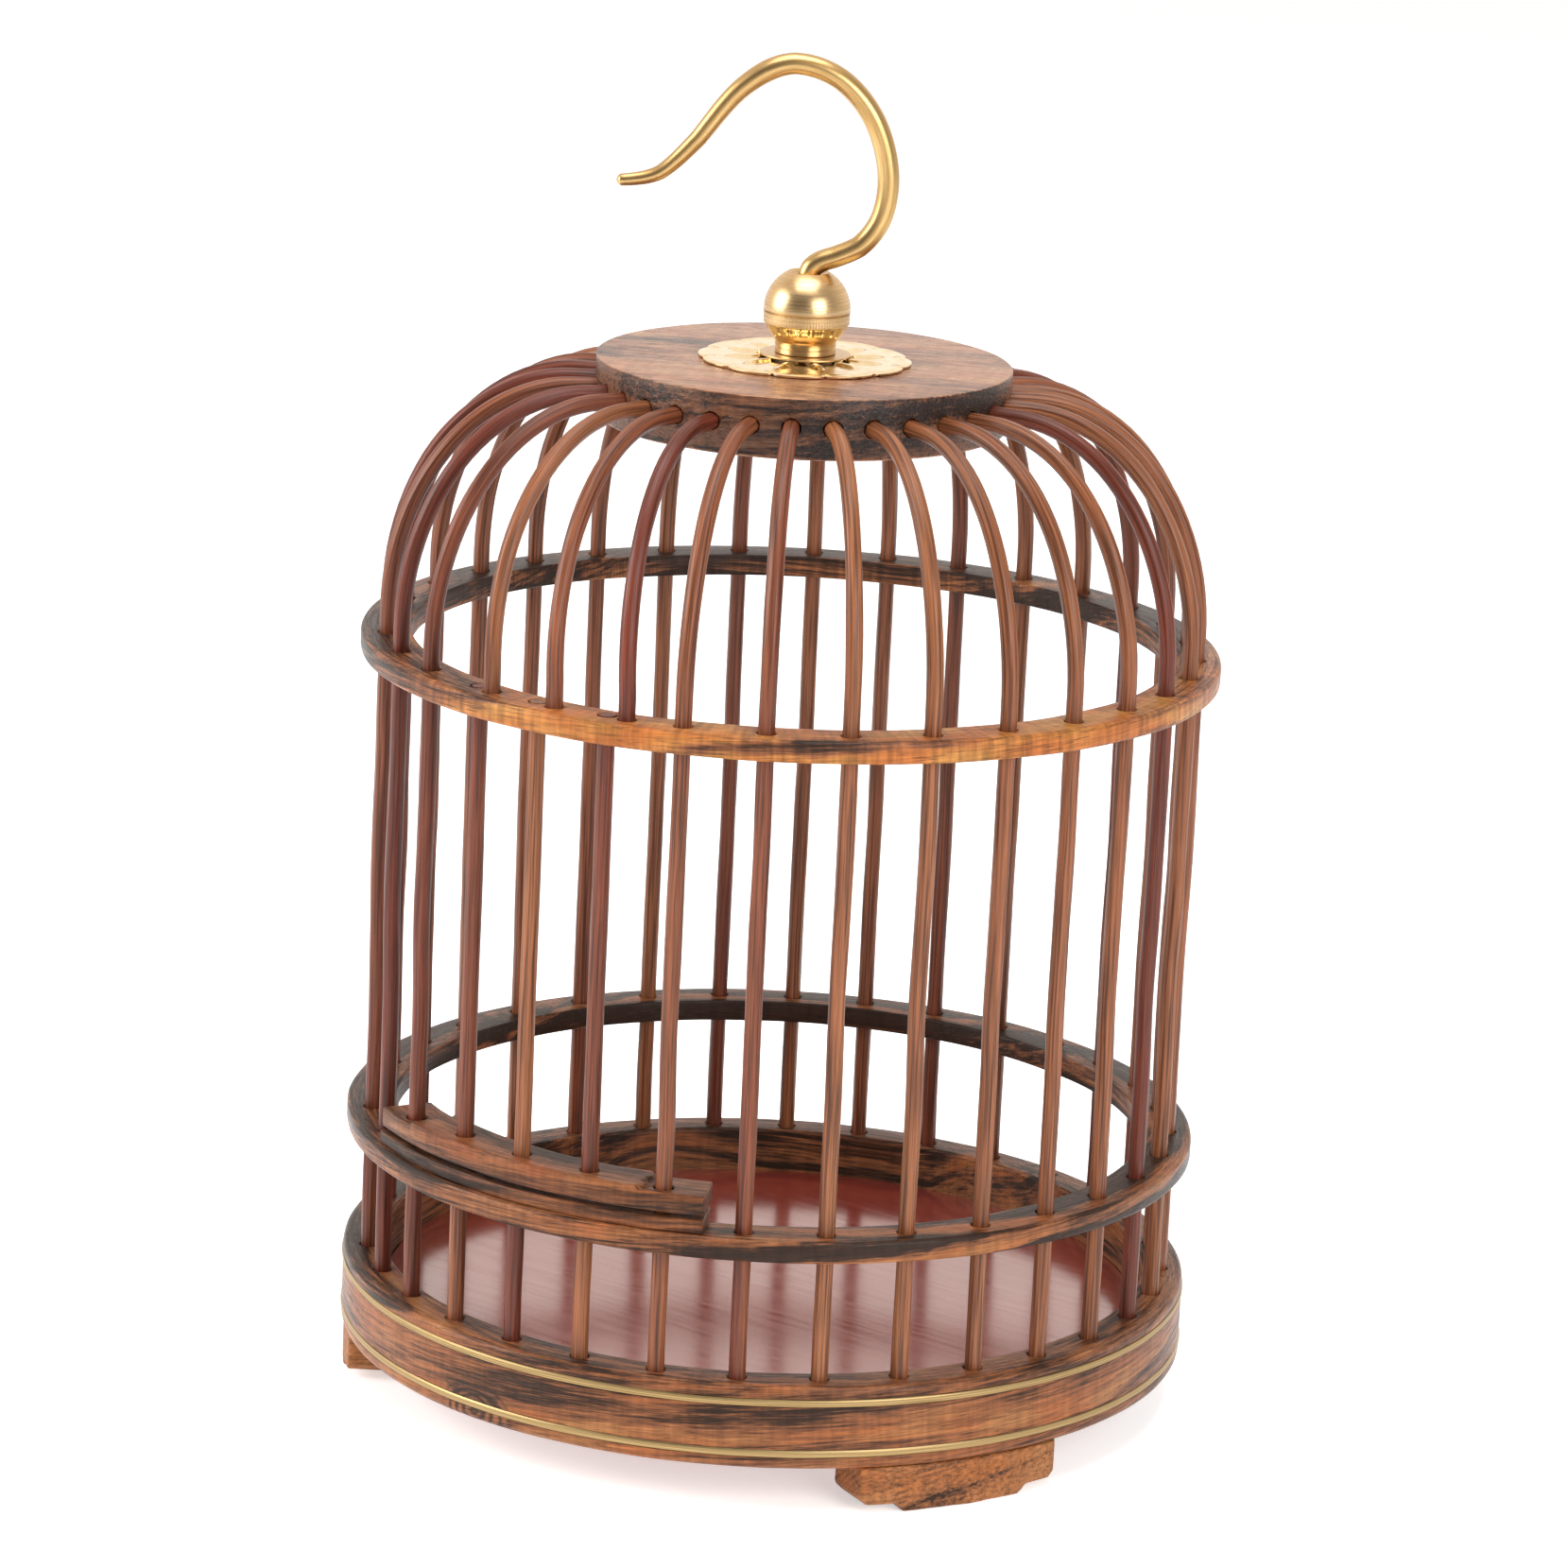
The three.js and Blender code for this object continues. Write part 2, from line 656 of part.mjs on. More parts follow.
/** The ball's lower half, with its neck, the stud below it, and the spigot that the upper half screws onto. */
function ballBase() {
  const neckTop = ballCentre - Math.sqrt(BALL_RADIUS ** 2 - NECK_RADIUS ** 2);
  const spigotTop = ballSeam + SPIGOT_LENGTH;
  const stud = [
    [0, nutBottom - STUD_END],
    [STUD_RADIUS, nutBottom - STUD_END],
    [STUD_RADIUS, neckBottom],
    [NECK_RADIUS, neckBottom],
  ];
  const spigot = [
    [spigotRadius, ballSeam - SEAT_GAP],
    [spigotRadius, spigotTop],
    [recessRadius, spigotTop],
    [recessRadius, headBottom - HEAD_GAP],
    [0, headBottom - HEAD_GAP],
  ];
  const bowl = ballArc(BALL_RADIUS, neckTop, ballSeam - SEAT_GAP, 4);
  return turned([...stud, ...bowl, ...spigot], BRASS_FACETS);
}

/** The ball's upper half, with the bore that the hook turns in. */
function ballCap() {
  const cavity = spigotRadius + SOCKET_GAP;
  const outside = ballArc(BALL_RADIUS, ballSeam, ballLip, 7);
  const inside = [
    [swivelBore, mouthBottom],
    [swivelBore, shoulder],
    [cavity, shoulder],
    [cavity, ballSeam],
    outside[0],
  ];
  return turned([...outside, ...inside], BRASS_FACETS);
}

// The wire's centre line in the plane of the hook: [sideways, above the bottom of the ball's mouth].
const HOOK_LINE = [
  [0, -2.75],
  [0, -0.85],
  [0, 0.25],
  [0.35, 1.45],
  [1.4, 2.35],
  [3.4, 3.15],
  [6.7, 4.75],
  [9.4, 8.35],
  [10.3, 14.55],
  [8.1, 22.15],
  [3.2, 27.65],
  [-3.2, 29.55],
  [-9.4, 26.65],
  [-15.9, 18.75],
  [-21, 13.75],
  [-26.9, 12.45],
];

/** The wire's centre line, with the same number of steps between each point and the next. */
class HookPath extends THREE.CatmullRomCurve3 {
  getUtoTmapping(u) {
    return u;
  }
}

/** The wire, upright through the ball and then along the hook's line, drawn out thin at its tip. */
function hook() {
  const foot = new THREE.Vector3(0, 0, headTop - SEAT_GAP);
  const line = HOOK_LINE.map(([along, up]) => new THREE.Vector3(along, 0, mouthBottom + up));
  const path = new HookPath([foot, ...line], false, "centripetal");
  const steps = HOOK_LINE.length * WIRE_STEPS;
  const wire = rod(path, stemRadius, WIRE_FACETS, steps);
  thinTip(wire, path.getSpacedPoints(steps));
  const head = post(recessRadius - HEAD_GAP, headBottom, headTop, 0, 0, BRASS_FACETS);
  return toGeometry(toSolid(wire).add(toSolid(head)));
}

/** Draws the wire's section in towards its centre line along the last part of its length. */
function thinTip(wire, centres) {
  const position = wire.attributes.position;
  const vertex = new THREE.Vector3();
  for (let i = 0; i < position.count; i++) {
    vertex.fromBufferAttribute(position, i);
    const distances = centres.map((centre) => centre.distanceTo(vertex));
    const nearest = distances.indexOf(Math.min(...distances));
    const along = nearest / (centres.length - 1);
    const taper = Math.max(along - HOOK_TAPER_FROM, 0) / (1 - HOOK_TAPER_FROM);
    const scale = THREE.MathUtils.lerp(1, HOOK_TIP_DIAMETER / HOOK_DIAMETER, taper);
    vertex.sub(centres[nearest]).multiplyScalar(scale).add(centres[nearest]);
    position.setXYZ(i, vertex.x, vertex.y, vertex.z);
  }
}

add("ball_base", ballBase(), brass);
add("ball_cap", ballCap(), brass);
add("hook", hook(), brass, HOOK_YAW);

export default object;
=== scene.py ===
"""A small round bird cage of turned rosewood and bamboo with brass fittings, built around its CAD frame.

Metres, +Z up, the door faces -Y. Sizes in the classes are millimetres. Places come from the frame's boxes.
Azimuths are degrees anticlockwise from +X, seen from above.
"""

import json
import logging
import math
from dataclasses import dataclass
from enum import Enum
from typing import Callable, Sequence

import bmesh
import bpy
from mathutils import Matrix, Vector, noise


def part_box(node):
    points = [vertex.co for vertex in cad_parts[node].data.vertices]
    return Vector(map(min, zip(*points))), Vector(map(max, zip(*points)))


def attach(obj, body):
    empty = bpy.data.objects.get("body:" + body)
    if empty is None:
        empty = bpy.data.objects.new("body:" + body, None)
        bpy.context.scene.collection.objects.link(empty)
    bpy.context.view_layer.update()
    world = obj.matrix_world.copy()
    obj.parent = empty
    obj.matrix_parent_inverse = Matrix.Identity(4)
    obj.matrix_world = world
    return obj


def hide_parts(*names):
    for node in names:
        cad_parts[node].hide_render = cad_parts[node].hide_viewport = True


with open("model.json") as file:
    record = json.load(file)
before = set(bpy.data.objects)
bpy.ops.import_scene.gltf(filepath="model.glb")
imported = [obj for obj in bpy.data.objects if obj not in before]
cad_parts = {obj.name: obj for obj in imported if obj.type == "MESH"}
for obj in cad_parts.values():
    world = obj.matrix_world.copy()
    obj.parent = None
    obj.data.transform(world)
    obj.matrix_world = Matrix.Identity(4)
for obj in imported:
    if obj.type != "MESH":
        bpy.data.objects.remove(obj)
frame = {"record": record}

MM = 0.001
DOOR_AZIMUTH = -90.0
HAND_SEED = 7  # of the tool marks, which would otherwise start from the clock
log = logging.getLogger("bird_cage")

Outline = list[tuple[float, float]]
Place = tuple[float, float, float]
Object = bpy.types.Object
Material = bpy.types.Material
Tree = bpy.types.NodeTree
Node = bpy.types.Node
Socket = bpy.types.NodeSocket
Source = Node | Socket


# ---- Nodes and colours --------------------------------------------------------------------------


def add_node(tree: Tree, kind: str, *values: object, **settings: object) -> Node:
    """Adds a node to a tree with its settings, and fills or links its inputs.

    Args:
        tree: The node tree.
        kind: The node's type.
        values: The inputs that are in use, in order, or one dictionary of them by name or index. Each is a
            constant, a colour such as "#9B6238", a socket to link, or a node that stands for its first
            output in use.
        settings: The node's own properties.

    Returns:
        The new node.
    """
    node = tree.nodes.new(kind)
    for name, value in settings.items():
        setattr(node, name, value)
    if values and isinstance(values[0], dict):
        filled = [(node.inputs[key], value) for key, value in values[0].items()]
    else:
        filled = zip([entry for entry in node.inputs if entry.enabled], values)
    for entry, value in filled:
        if isinstance(value, Node):
            value = next(output for output in value.outputs if output.enabled)
        if isinstance(value, str) and value.startswith("#"):
            value = linear(value)
        if isinstance(value, Socket):
            tree.links.new(value, entry)
        else:
            entry.default_value = value
    return node


def linear(colour: str) -> tuple[float, float, float, float]:
    """Turns an sRGB colour such as "#9B6238" into linear red, green, blue and alpha.

    Args:
        colour: The colour as a hex string.

    Returns:
        The linear colour, with an alpha of 1.
    """
    shares = [int(colour[i : i + 2], 16) / 255 for i in (1, 3, 5)]
    red, green, blue = [s / 12.92 if s <= 0.04045 else ((s + 0.055) / 1.055) ** 2.4 for s in shares]
    return (red, green, blue, 1.0)


# ---- Finishes -----------------------------------------------------------------------------------


@dataclass(frozen=True)
class Finish:
    """What all finishes share: a material of one shader, whose inputs each finish works out for itself."""

    name: str

    def material(self) -> Material:
        """Builds the material.

        Returns:
            The finished material.
        """
        material = bpy.data.materials.new(self.name)
        material.use_nodes = True
        tree = material.node_tree
        tree.nodes.clear()
        shader = add_node(tree, "ShaderNodeBsdfPrincipled", self.inputs(tree))
        add_node(tree, "ShaderNodeOutputMaterial", {"Surface": shader})
        return material

    def inputs(self, tree: Tree) -> dict[str, object]:
        """The inputs of the shader that the finish sets, by name."""
        raise NotImplementedError


@dataclass(frozen=True)
class Rosewood(Finish):
    """Rosewood, sawn, turned and rubbed with oil.

    To the eye it is orange brown with wide dark bands that follow the growth rings, long fine fibres, short
    dark pores along them, and a satin shine that grows towards a grazing view. Dry hardwood has an IOR of
    about 1.5. Its colour also holds painted light: a sheen in bars across the fibres, painted shade towards
    the back of a ring, and painted shade on upright faces.
    """

    light: str = "#8B5D38"
    warm: str = "#8E522D"
    middle: str = "#74472D"
    dark: str = "#2C1D15"
    bent: bool = True  # whether the fibres follow the ring round, as in a hoop
    fibre_azimuth: float = 36.5  # degrees, the way straight fibres run, square to the front of a ring
    tilt: float = 3.0  # degrees, how far the fibres leave the level
    pith: tuple[float, float] = (-10.0, -60.0)  # mm, across the fibres and up
    ring_radius: float = 60.0  # mm, where the way round a ring is measured
    band: float = 3.4  # mm, from one growth band to the next
    growth_line: float = 0.55  # mm, from one fine line in the bands to the next
    sway: float = 7.0  # mm, how far the bands wander
    strand: float = 0.5  # mm, the width of a fibre
    pore: float = 0.24  # mm; real pores are about 0.1 mm wide, too fine to show
    pit: float = 0.6  # mm, the width of a pit where the turning tore the end grain
    figure_sheen: float = 0.14  # painted sheen: how strongly the light and dark bars across the fibres show, the wood's chatoyance put into its colour
    sawn: float = 0.0  # how strongly the saw's ripples show
    torn: float = 0.0  # how rough the turning left the upright faces
    upright_shade: float = 0.0  # painted shade: how much darker those faces are, against the level faces that their sheen makes lighter
    darkness: float = 0.0  # added share of dark bands
    across: float = 0.0  # painted shade: how much of that is added per mm across the fibres, darkening the back of the board, where its inside lies in shade
    knot: Place | None = None  # mm, along the fibres, across them and up
    knot_ring: float = 0.85  # mm, from one ring in the knot to the next
    knot_draw: float = 0.6  # how much a distance from the knot shrinks along the fibres
    streak: Place | None = None  # mm, the middle of a long dark streak, as for the knot
    streak_draw: float = 0.06
    gloss: float = 0.16  # share of the full shine that shows face on, where the oil has sunk in
    roughness: float = 0.33
    seed: float = 0.0

    def inputs(self, tree: Tree) -> dict[str, object]:
        """The inputs of the shader, by name."""
        place = add_node(tree, "ShaderNodeTexCoord").outputs["Object"]
        turn = (0.0, 0.0, -math.radians(self.fibre_azimuth))
        facing = {"Vector": place, "Rotation": turn, "Scale": (1 / MM,) * 3}
        faced = add_node(tree, "ShaderNodeMapping", facing)
        along = self.round_the_ring(tree, faced) if self.bent else faced
        across, up = self.pith
        lean = (0.0, math.radians(self.tilt), 0.0)
        laid = add_node(tree, "ShaderNodeMapping", along, (self.seed, -across, -up), lean)
        ring = self.growth(tree, laid, along)
        fibres, pores = self.fibres(tree, laid)
        tone = self.bands(tree, faced, along, laid, ring, fibres)
        relief = add_node(tree, "ShaderNodeMath", fibres, pores, operation="SUBTRACT")
        if self.sawn:
            relief = self.saw_marks(tree, laid, relief)
        if self.upright_shade or self.torn:
            # Painted shade darkens the upright faces; their torn pits go into the relief.
            upright = self.upright(tree)
            tone = add_node(tree, "ShaderNodeMath", upright, -self.upright_shade, tone, operation="MULTIPLY_ADD")
            colour = self.colour(tree, laid, tone, fibres, pores)
            left = add_node(tree, "ShaderNodeMath", upright, -self.upright_shade, 1.0, operation="MULTIPLY_ADD")
            colour = add_node(tree, "ShaderNodeVectorMath", colour, left, operation="SCALE")
            pits = add_node(tree, "ShaderNodeTexNoise", faced, 1 / self.pit, 3.0, 0.7)
            share = add_node(tree, "ShaderNodeMath", upright, self.torn, operation="MULTIPLY")
            relief = add_node(tree, "ShaderNodeMath", pits, share, relief, operation="MULTIPLY_ADD")
        else:
            colour = self.colour(tree, laid, tone, fibres, pores)
        dull, bright = self.roughness + 0.1, self.roughness - 0.06
        bump = {"Height": relief, "Strength": 0.55, "Distance": 0.12 * MM}
        return {
            "Base Color": colour,
            "Roughness": add_node(tree, "ShaderNodeMapRange", fibres, 0.3, 0.7, dull, bright),
            "Normal": add_node(tree, "ShaderNodeBump", bump),
            "IOR": 1.5,
            "Specular IOR Level": self.gloss,
        }

    def saw_marks(self, tree: Tree, laid: Source, relief: Source) -> Node:
        """Adds a saw's slanted ripples to the relief."""
        skew = add_node(tree, "ShaderNodeMapping", {"Vector": laid, "Rotation": (0.0, -0.9, 0.3)})
        wave = {"Vector": skew, "Scale": 0.42, "Distortion": 3.0, "Detail": 2.0, "Detail Scale": 0.4}
        ripples = add_node(tree, "ShaderNodeTexWave", wave).outputs["Fac"]
        return add_node(tree, "ShaderNodeMath", ripples, self.sawn, relief, operation="MULTIPLY_ADD")

    def upright(self, tree: Tree) -> Node:
        """1 where a face stands upright, like the end grain of a turned disc, and 0 where it lies level."""
        normal = add_node(tree, "ShaderNodeNewGeometry").outputs["Normal"]
        rise = add_node(tree, "ShaderNodeSeparateXYZ", normal).outputs["Z"]
        flat = add_node(tree, "ShaderNodeMath", rise, operation="ABSOLUTE")
        return add_node(tree, "ShaderNodeMapRange", flat, 0.6, 0.2)

    def round_the_ring(self, tree: Tree, faced: Source) -> Node:
        """Turns straight coordinates into ones that follow a ring and close without a seam behind, in mm.

        Args:
            tree: The material's nodes.
            faced: Straight coordinates, whose -Y is the middle of the ring's front.

        Returns:
            The way round at the ring's radius, the distance from the axis, and the height.
        """
        x, y, z = add_node(tree, "ShaderNodeSeparateXYZ", faced).outputs
        level_place = add_node(tree, "ShaderNodeCombineXYZ", x, y)
        radius = add_node(tree, "ShaderNodeVectorMath", level_place, operation="LENGTH")
        back = add_node(tree, "ShaderNodeMath", y, -1.0, operation="MULTIPLY")
        angle = add_node(tree, "ShaderNodeMath", x, back, operation="ARCTAN2")
        way = add_node(tree, "ShaderNodeMath", angle, self.ring_radius, operation="MULTIPLY")
        turned_by = add_node(tree, "ShaderNodeMath", angle, operation="ABSOLUTE")
        rear = add_node(tree, "ShaderNodeMapRange", turned_by, 1.9, 2.9, interpolation_type="SMOOTHSTEP")
        across = add_node(tree, "ShaderNodeMath", x, -1.0, operation="MULTIPLY")
        closed = add_node(tree, "ShaderNodeMix", rear, way, across)
        return add_node(tree, "ShaderNodeCombineXYZ", closed, radius, z)

    def growth(self, tree: Tree, laid: Source, along: Source) -> Node:
        """The distance from the tree's pith, in mm, wandering as the trunk did.

        Args:
            tree: The material's nodes.
            laid: Coordinates in mm with the fibres along X and the pith at Y = Z = 0.
            along: The same before the pith was laid, in which the knot's place is given.

        Returns:
            The distance's node.
        """
        slow = add_node(tree, "ShaderNodeVectorMath", laid, (0.35, 1, 1), operation="MULTIPLY")
        drift = add_node(tree, "ShaderNodeTexNoise", slow, 1 / 16, 2.5).outputs["Color"]
        reach = (0, self.sway, self.sway)
        moved = add_node(tree, "ShaderNodeVectorMath", drift, reach, laid, operation="MULTIPLY_ADD")
        flat = add_node(tree, "ShaderNodeVectorMath", moved, (0, 1, 1), operation="MULTIPLY")
        ring = add_node(tree, "ShaderNodeVectorMath", flat, operation="LENGTH")
        if self.knot is None:
            return ring
        away = self.from_mark(tree, along, self.knot, self.knot_draw)
        swell = (away, 0.0, 6.0, 3.0, 0.0)
        raised = add_node(tree, "ShaderNodeMapRange", *swell, interpolation_type="SMOOTHERSTEP")
        return add_node(tree, "ShaderNodeMath", ring, raised)

    def from_mark(self, tree: Tree, along: Source, mark: Place, draw: float) -> Node:
        """The distance from a mark that is drawn out along the fibres and into the wood.

        Args:
            tree: The material's nodes.
            along: Coordinates in mm with the fibres along X.
            mark: The mark's middle in these coordinates.
            draw: How much the distance shrinks along the fibres.

        Returns:
            The distance's node, in mm across the fibres.
        """
        offset = add_node(tree, "ShaderNodeVectorMath", along, mark, operation="SUBTRACT")
        leant = add_node(tree, "ShaderNodeMapping", {"Vector": offset, "Rotation": (0.0, 0.055, 0.0)})
        drawn = add_node(tree, "ShaderNodeVectorMath", leant, (draw, 0.5, 1), operation="MULTIPLY")
        away = add_node(tree, "ShaderNodeVectorMath", drawn, operation="LENGTH")
        waver = add_node(tree, "ShaderNodeTexNoise", along, 1 / 3.5, 2.0)
        return add_node(tree, "ShaderNodeMath", waver, 1.4, away, operation="MULTIPLY_ADD")

    def bands(
        self, tree: Tree, faced: Source, along: Source, laid: Source, ring: Source, fibres: Source
    ) -> Node:
        """How light the wood is, from its wide bands, its fine growth lines, its streak and its knot.

        Args:
            tree: The material's nodes.
            faced: Coordinates in mm, square to the fibres at the front.
            along: Coordinates in mm with the fibres along X.
            laid: The same about the pith.
            ring: The distance from the pith in mm.
            fibres: The fibres, which feather the bands' edges.

        Returns:
            A node of about 0 where the wood is dark and 1 where it is light.
        """
        wide = add_node(tree, "ShaderNodeTexNoise", ring, 1 / self.band, 2.0, 0.6, noise_dimensions="1D")
        fine = add_node(tree, "ShaderNodeTexNoise", ring, 1 / self.growth_line, 1.0, noise_dimensions="1D")
        slow = add_node(tree, "ShaderNodeVectorMath", laid, (0.3, 1, 1), operation="MULTIPLY")
        clouds = add_node(tree, "ShaderNodeTexNoise", slow, 1 / 9, 3.0)
        total = wide
        for part, share in ((fine, 0.25), (clouds, 0.9), (fibres, 0.9)):
            total = add_node(tree, "ShaderNodeMath", part, share, total, operation="MULTIPLY_ADD")
        # Painted shade: the wood grows darker towards the back of the board, across the fibres.
        if self.across:
            depth = add_node(tree, "ShaderNodeSeparateXYZ", faced).outputs["Y"]
            total = add_node(tree, "ShaderNodeMath", depth, -self.across, total, operation="MULTIPLY_ADD")
        if self.streak:
            away = self.from_mark(tree, along, self.streak, self.streak_draw)
            streaked = add_node(tree, "ShaderNodeMapRange", away, 2.3, 1.3, 0.0, -0.32)
            total = add_node(tree, "ShaderNodeMath", total, streaked)
        tone = add_node(tree, "ShaderNodeMapRange", total, 1.3 + self.darkness, 1.8 + self.darkness)
        if self.knot is None:
            return tone
        away = self.from_mark(tree, along, self.knot, self.knot_draw)
        near = add_node(tree, "ShaderNodeMapRange", away, 5.4, 3.8)
        wave = add_node(tree, "ShaderNodeMath", away, 2 * math.pi / self.knot_ring, operation="MULTIPLY")
        crests = add_node(tree, "ShaderNodeMath", wave, operation="SINE")
        lines = add_node(tree, "ShaderNodeMath", crests, -0.36, -0.42, operation="MULTIPLY_ADD")
        left = add_node(tree, "ShaderNodeMath", lines, near, 1.0, operation="MULTIPLY_ADD")
        return add_node(tree, "ShaderNodeMath", tone, left, operation="MULTIPLY")

    def fibres(self, tree: Tree, laid: Source) -> tuple[Node, Node]:
        """The long fibres and the short open pores between them.

        Args:
            tree: The material's nodes.
            laid: Coordinates in mm with the fibres along X.

        Returns:
            The fibres, round about 0.5, and the pores, 1 in a pore and 0 elsewhere.
        """
        long = add_node(tree, "ShaderNodeVectorMath", laid, (1 / 26, 1, 1), operation="MULTIPLY")
        strands = add_node(tree, "ShaderNodeTexNoise", long, 1 / self.strand, 4.0, 0.75)
        short = add_node(tree, "ShaderNodeVectorMath", laid, (1 / 12, 1, 1), operation="MULTIPLY")
        pattern = add_node(tree, "ShaderNodeTexNoise", short, 1 / self.pore, 1.0)
        return strands, add_node(tree, "ShaderNodeMapRange", pattern, 0.6, 0.7)

    def colour(self, tree: Tree, laid: Source, tone: Source, fibres: Source, pores: Source) -> Node:
        """The wood's colour from its tone, its fibres and its pores.

        Args:
            tree: The material's nodes.
            laid: Coordinates in mm with the fibres along X.
            tone: 0 where the wood is dark, 1 where it is light.
            fibres: The fibres, round about 0.5.
            pores: 1 in a pore.

        Returns:
            The colour's node.
        """
        first = add_node(tree, "ShaderNodeMapRange", tone, 0.05, 0.55, interpolation_type="SMOOTHSTEP")
        second = add_node(tree, "ShaderNodeMapRange", tone, 0.4, 1.0, interpolation_type="SMOOTHSTEP")
        shaded = add_node(tree, "ShaderNodeMix", first, self.dark, self.middle, data_type="RGBA")
        slow = add_node(tree, "ShaderNodeVectorMath", laid, (1 / 3, 1, 1), operation="MULTIPLY")
        patches = add_node(tree, "ShaderNodeTexNoise", slow, 1 / 5, 1.0)
        warmth = add_node(tree, "ShaderNodeMapRange", patches, 0.4, 0.6)
        lively = add_node(tree, "ShaderNodeMix", warmth, self.light, self.warm, data_type="RGBA")
        lit = add_node(tree, "ShaderNodeMix", second, shaded, lively, data_type="RGBA")
        grain = add_node(tree, "ShaderNodeMapRange", fibres, 0.3, 0.7, 0.66, 1.34)
        # Painted sheen: light and dark bars across the fibres stand in for the wood's chatoyance.
        tall = add_node(tree, "ShaderNodeVectorMath", laid, (1, 0.12, 0.12), operation="MULTIPLY")
        bars = add_node(tree, "ShaderNodeTexNoise", tall, 1 / 0.9, 2.0)
        figure_sheen = add_node(tree, "ShaderNodeMapRange", bars, 0.32, 0.68, 1 - self.figure_sheen, 1 + self.figure_sheen)
        both = add_node(tree, "ShaderNodeMath", grain, figure_sheen, operation="MULTIPLY")
        grain_and_sheen = add_node(tree, "ShaderNodeVectorMath", lit, both, operation="SCALE")
        share = add_node(tree, "ShaderNodeMath", pores, 0.45, operation="MULTIPLY")
        return add_node(tree, "ShaderNodeMix", share, grain_and_sheen, self.dark, data_type="RGBA")


@dataclass(frozen=True)
class Bamboo(Finish):
    """Bamboo, split, drawn round through a plate, stained reddish brown and rubbed with oil.

    To the eye each bar has its own tone, with fine dark and light fibres along its whole length and a soft
    shine on their ridges. It reads two attributes that the bars carry: fibre, in mm, and tone.
    """

    red: str = "#632C1D"
    tan: str = "#95603A"
    groove: str = "#3A1C12"
    strand: float = 0.3  # mm
    dash: float = 0.24
    patch: float = 2.4
    roughness: float = 0.36

    def inputs(self, tree: Tree) -> dict[str, object]:
        """The inputs of the shader, by name."""
        fibre = add_node(tree, "ShaderNodeAttribute", attribute_name="fibre").outputs["Vector"]
        tone = add_node(tree, "ShaderNodeAttribute", attribute_name="tone").outputs["Fac"]
        apart = add_node(tree, "ShaderNodeMath", tone, 90.0, operation="MULTIPLY")
        long = add_node(tree, "ShaderNodeVectorMath", fibre, (1, 1, 1 / 60), operation="MULTIPLY")
        short = add_node(tree, "ShaderNodeVectorMath", fibre, (1, 1, 1 / 40), operation="MULTIPLY")
        strands, dashes, slow = (
            add_node(tree, "ShaderNodeTexNoise", place, apart, 1 / width, 2.0, noise_dimensions="4D")
            for place, width in ((long, self.strand), (short, self.dash), (short, self.patch))
        )
        mixed = add_node(tree, "ShaderNodeMath", slow, 0.9, tone, operation="MULTIPLY_ADD")
        stain = add_node(tree, "ShaderNodeMapRange", mixed, 0.6, 1.75)
        stained = add_node(tree, "ShaderNodeMix", stain, self.red, self.tan, data_type="RGBA")
        deep = add_node(tree, "ShaderNodeMapRange", strands, 0.52, 0.38, 0.0, 0.75)
        lined = add_node(tree, "ShaderNodeMix", deep, stained, self.groove, data_type="RGBA")
        grain = add_node(tree, "ShaderNodeMapRange", dashes, 0.35, 0.68, 0.68, 1.32)
        relief = add_node(tree, "ShaderNodeMath", dashes, 0.4, strands, operation="MULTIPLY_ADD")
        bump = {"Height": relief, "Strength": 0.7, "Distance": 0.14 * MM}
        return {
            "Base Color": add_node(tree, "ShaderNodeVectorMath", lined, grain, operation="SCALE"),
            "Roughness": self.roughness,
            "Normal": add_node(tree, "ShaderNodeBump", bump),
            "IOR": 1.5,
            "Specular IOR Level": 0.3,
        }


@dataclass(frozen=True)
class Lacquer(Finish):
    """Red-brown lacquer, brushed on thin plywood and polished.

    To the eye it mirrors what stands behind it, a little broken by brush marks, dust and fine scratches.
    """

    colour: str = "#8C362B"
    deep: str = "#7A2D24"
    speck: str = "#3A1A16"
    mirror: str = "#FFDCD2"
    wave: float = 14.0  # mm, from one rise in the surface to the next
    dust: float = 5.5  # mm, from one speck to the next

    def inputs(self, tree: Tree) -> dict[str, object]:
        """The inputs of the shader, by name."""
        place = add_node(tree, "ShaderNodeTexCoord").outputs["Object"]
        level_place = add_node(tree, "ShaderNodeMapping", {"Vector": place, "Scale": (1 / MM,) * 3})
        lay = {"Vector": level_place, "Rotation": (0, 0, 0.5), "Scale": (0.05, 0.9, 1)}
        brushed = add_node(tree, "ShaderNodeTexNoise", add_node(tree, "ShaderNodeMapping", lay), 1.0, 4.0)
        waves = add_node(tree, "ShaderNodeTexNoise", level_place, 1 / self.wave, 2.0)
        dust = add_node(tree, "ShaderNodeTexVoronoi", {"Vector": level_place, "Scale": 1 / self.dust})
        dots = add_node(tree, "ShaderNodeMapRange", dust.outputs["Distance"], 0.055, 0.03)
        shaded = add_node(tree, "ShaderNodeMix", brushed, self.deep, self.colour, data_type="RGBA")
        relief = add_node(tree, "ShaderNodeMath", waves, 3.0, brushed, operation="MULTIPLY_ADD")
        bump = {"Height": relief, "Strength": 0.25, "Distance": 0.05 * MM}
        return {
            "Base Color": add_node(tree, "ShaderNodeMix", dots, shaded, self.speck, data_type="RGBA"),
            "Roughness": add_node(tree, "ShaderNodeMapRange", brushed, 0.3, 0.7, 0.12, 0.24),
            "Normal": add_node(tree, "ShaderNodeBump", bump),
            "IOR": 1.6,
            "Specular IOR Level": 0.9,
            "Specular Tint": self.mirror,
            "Coat Weight": 0.8,
            "Coat Roughness": 0.15,
        }


class Worked(Enum):
    """How a piece of brass was made, which sets the way its fine marks run."""

    DRAWN = "drawn through a die, with marks along the wire"
    TURNED = "turned on a lathe, with marks round the axis"
    POLISHED = "pressed and polished, with no marks but a soft unevenness"


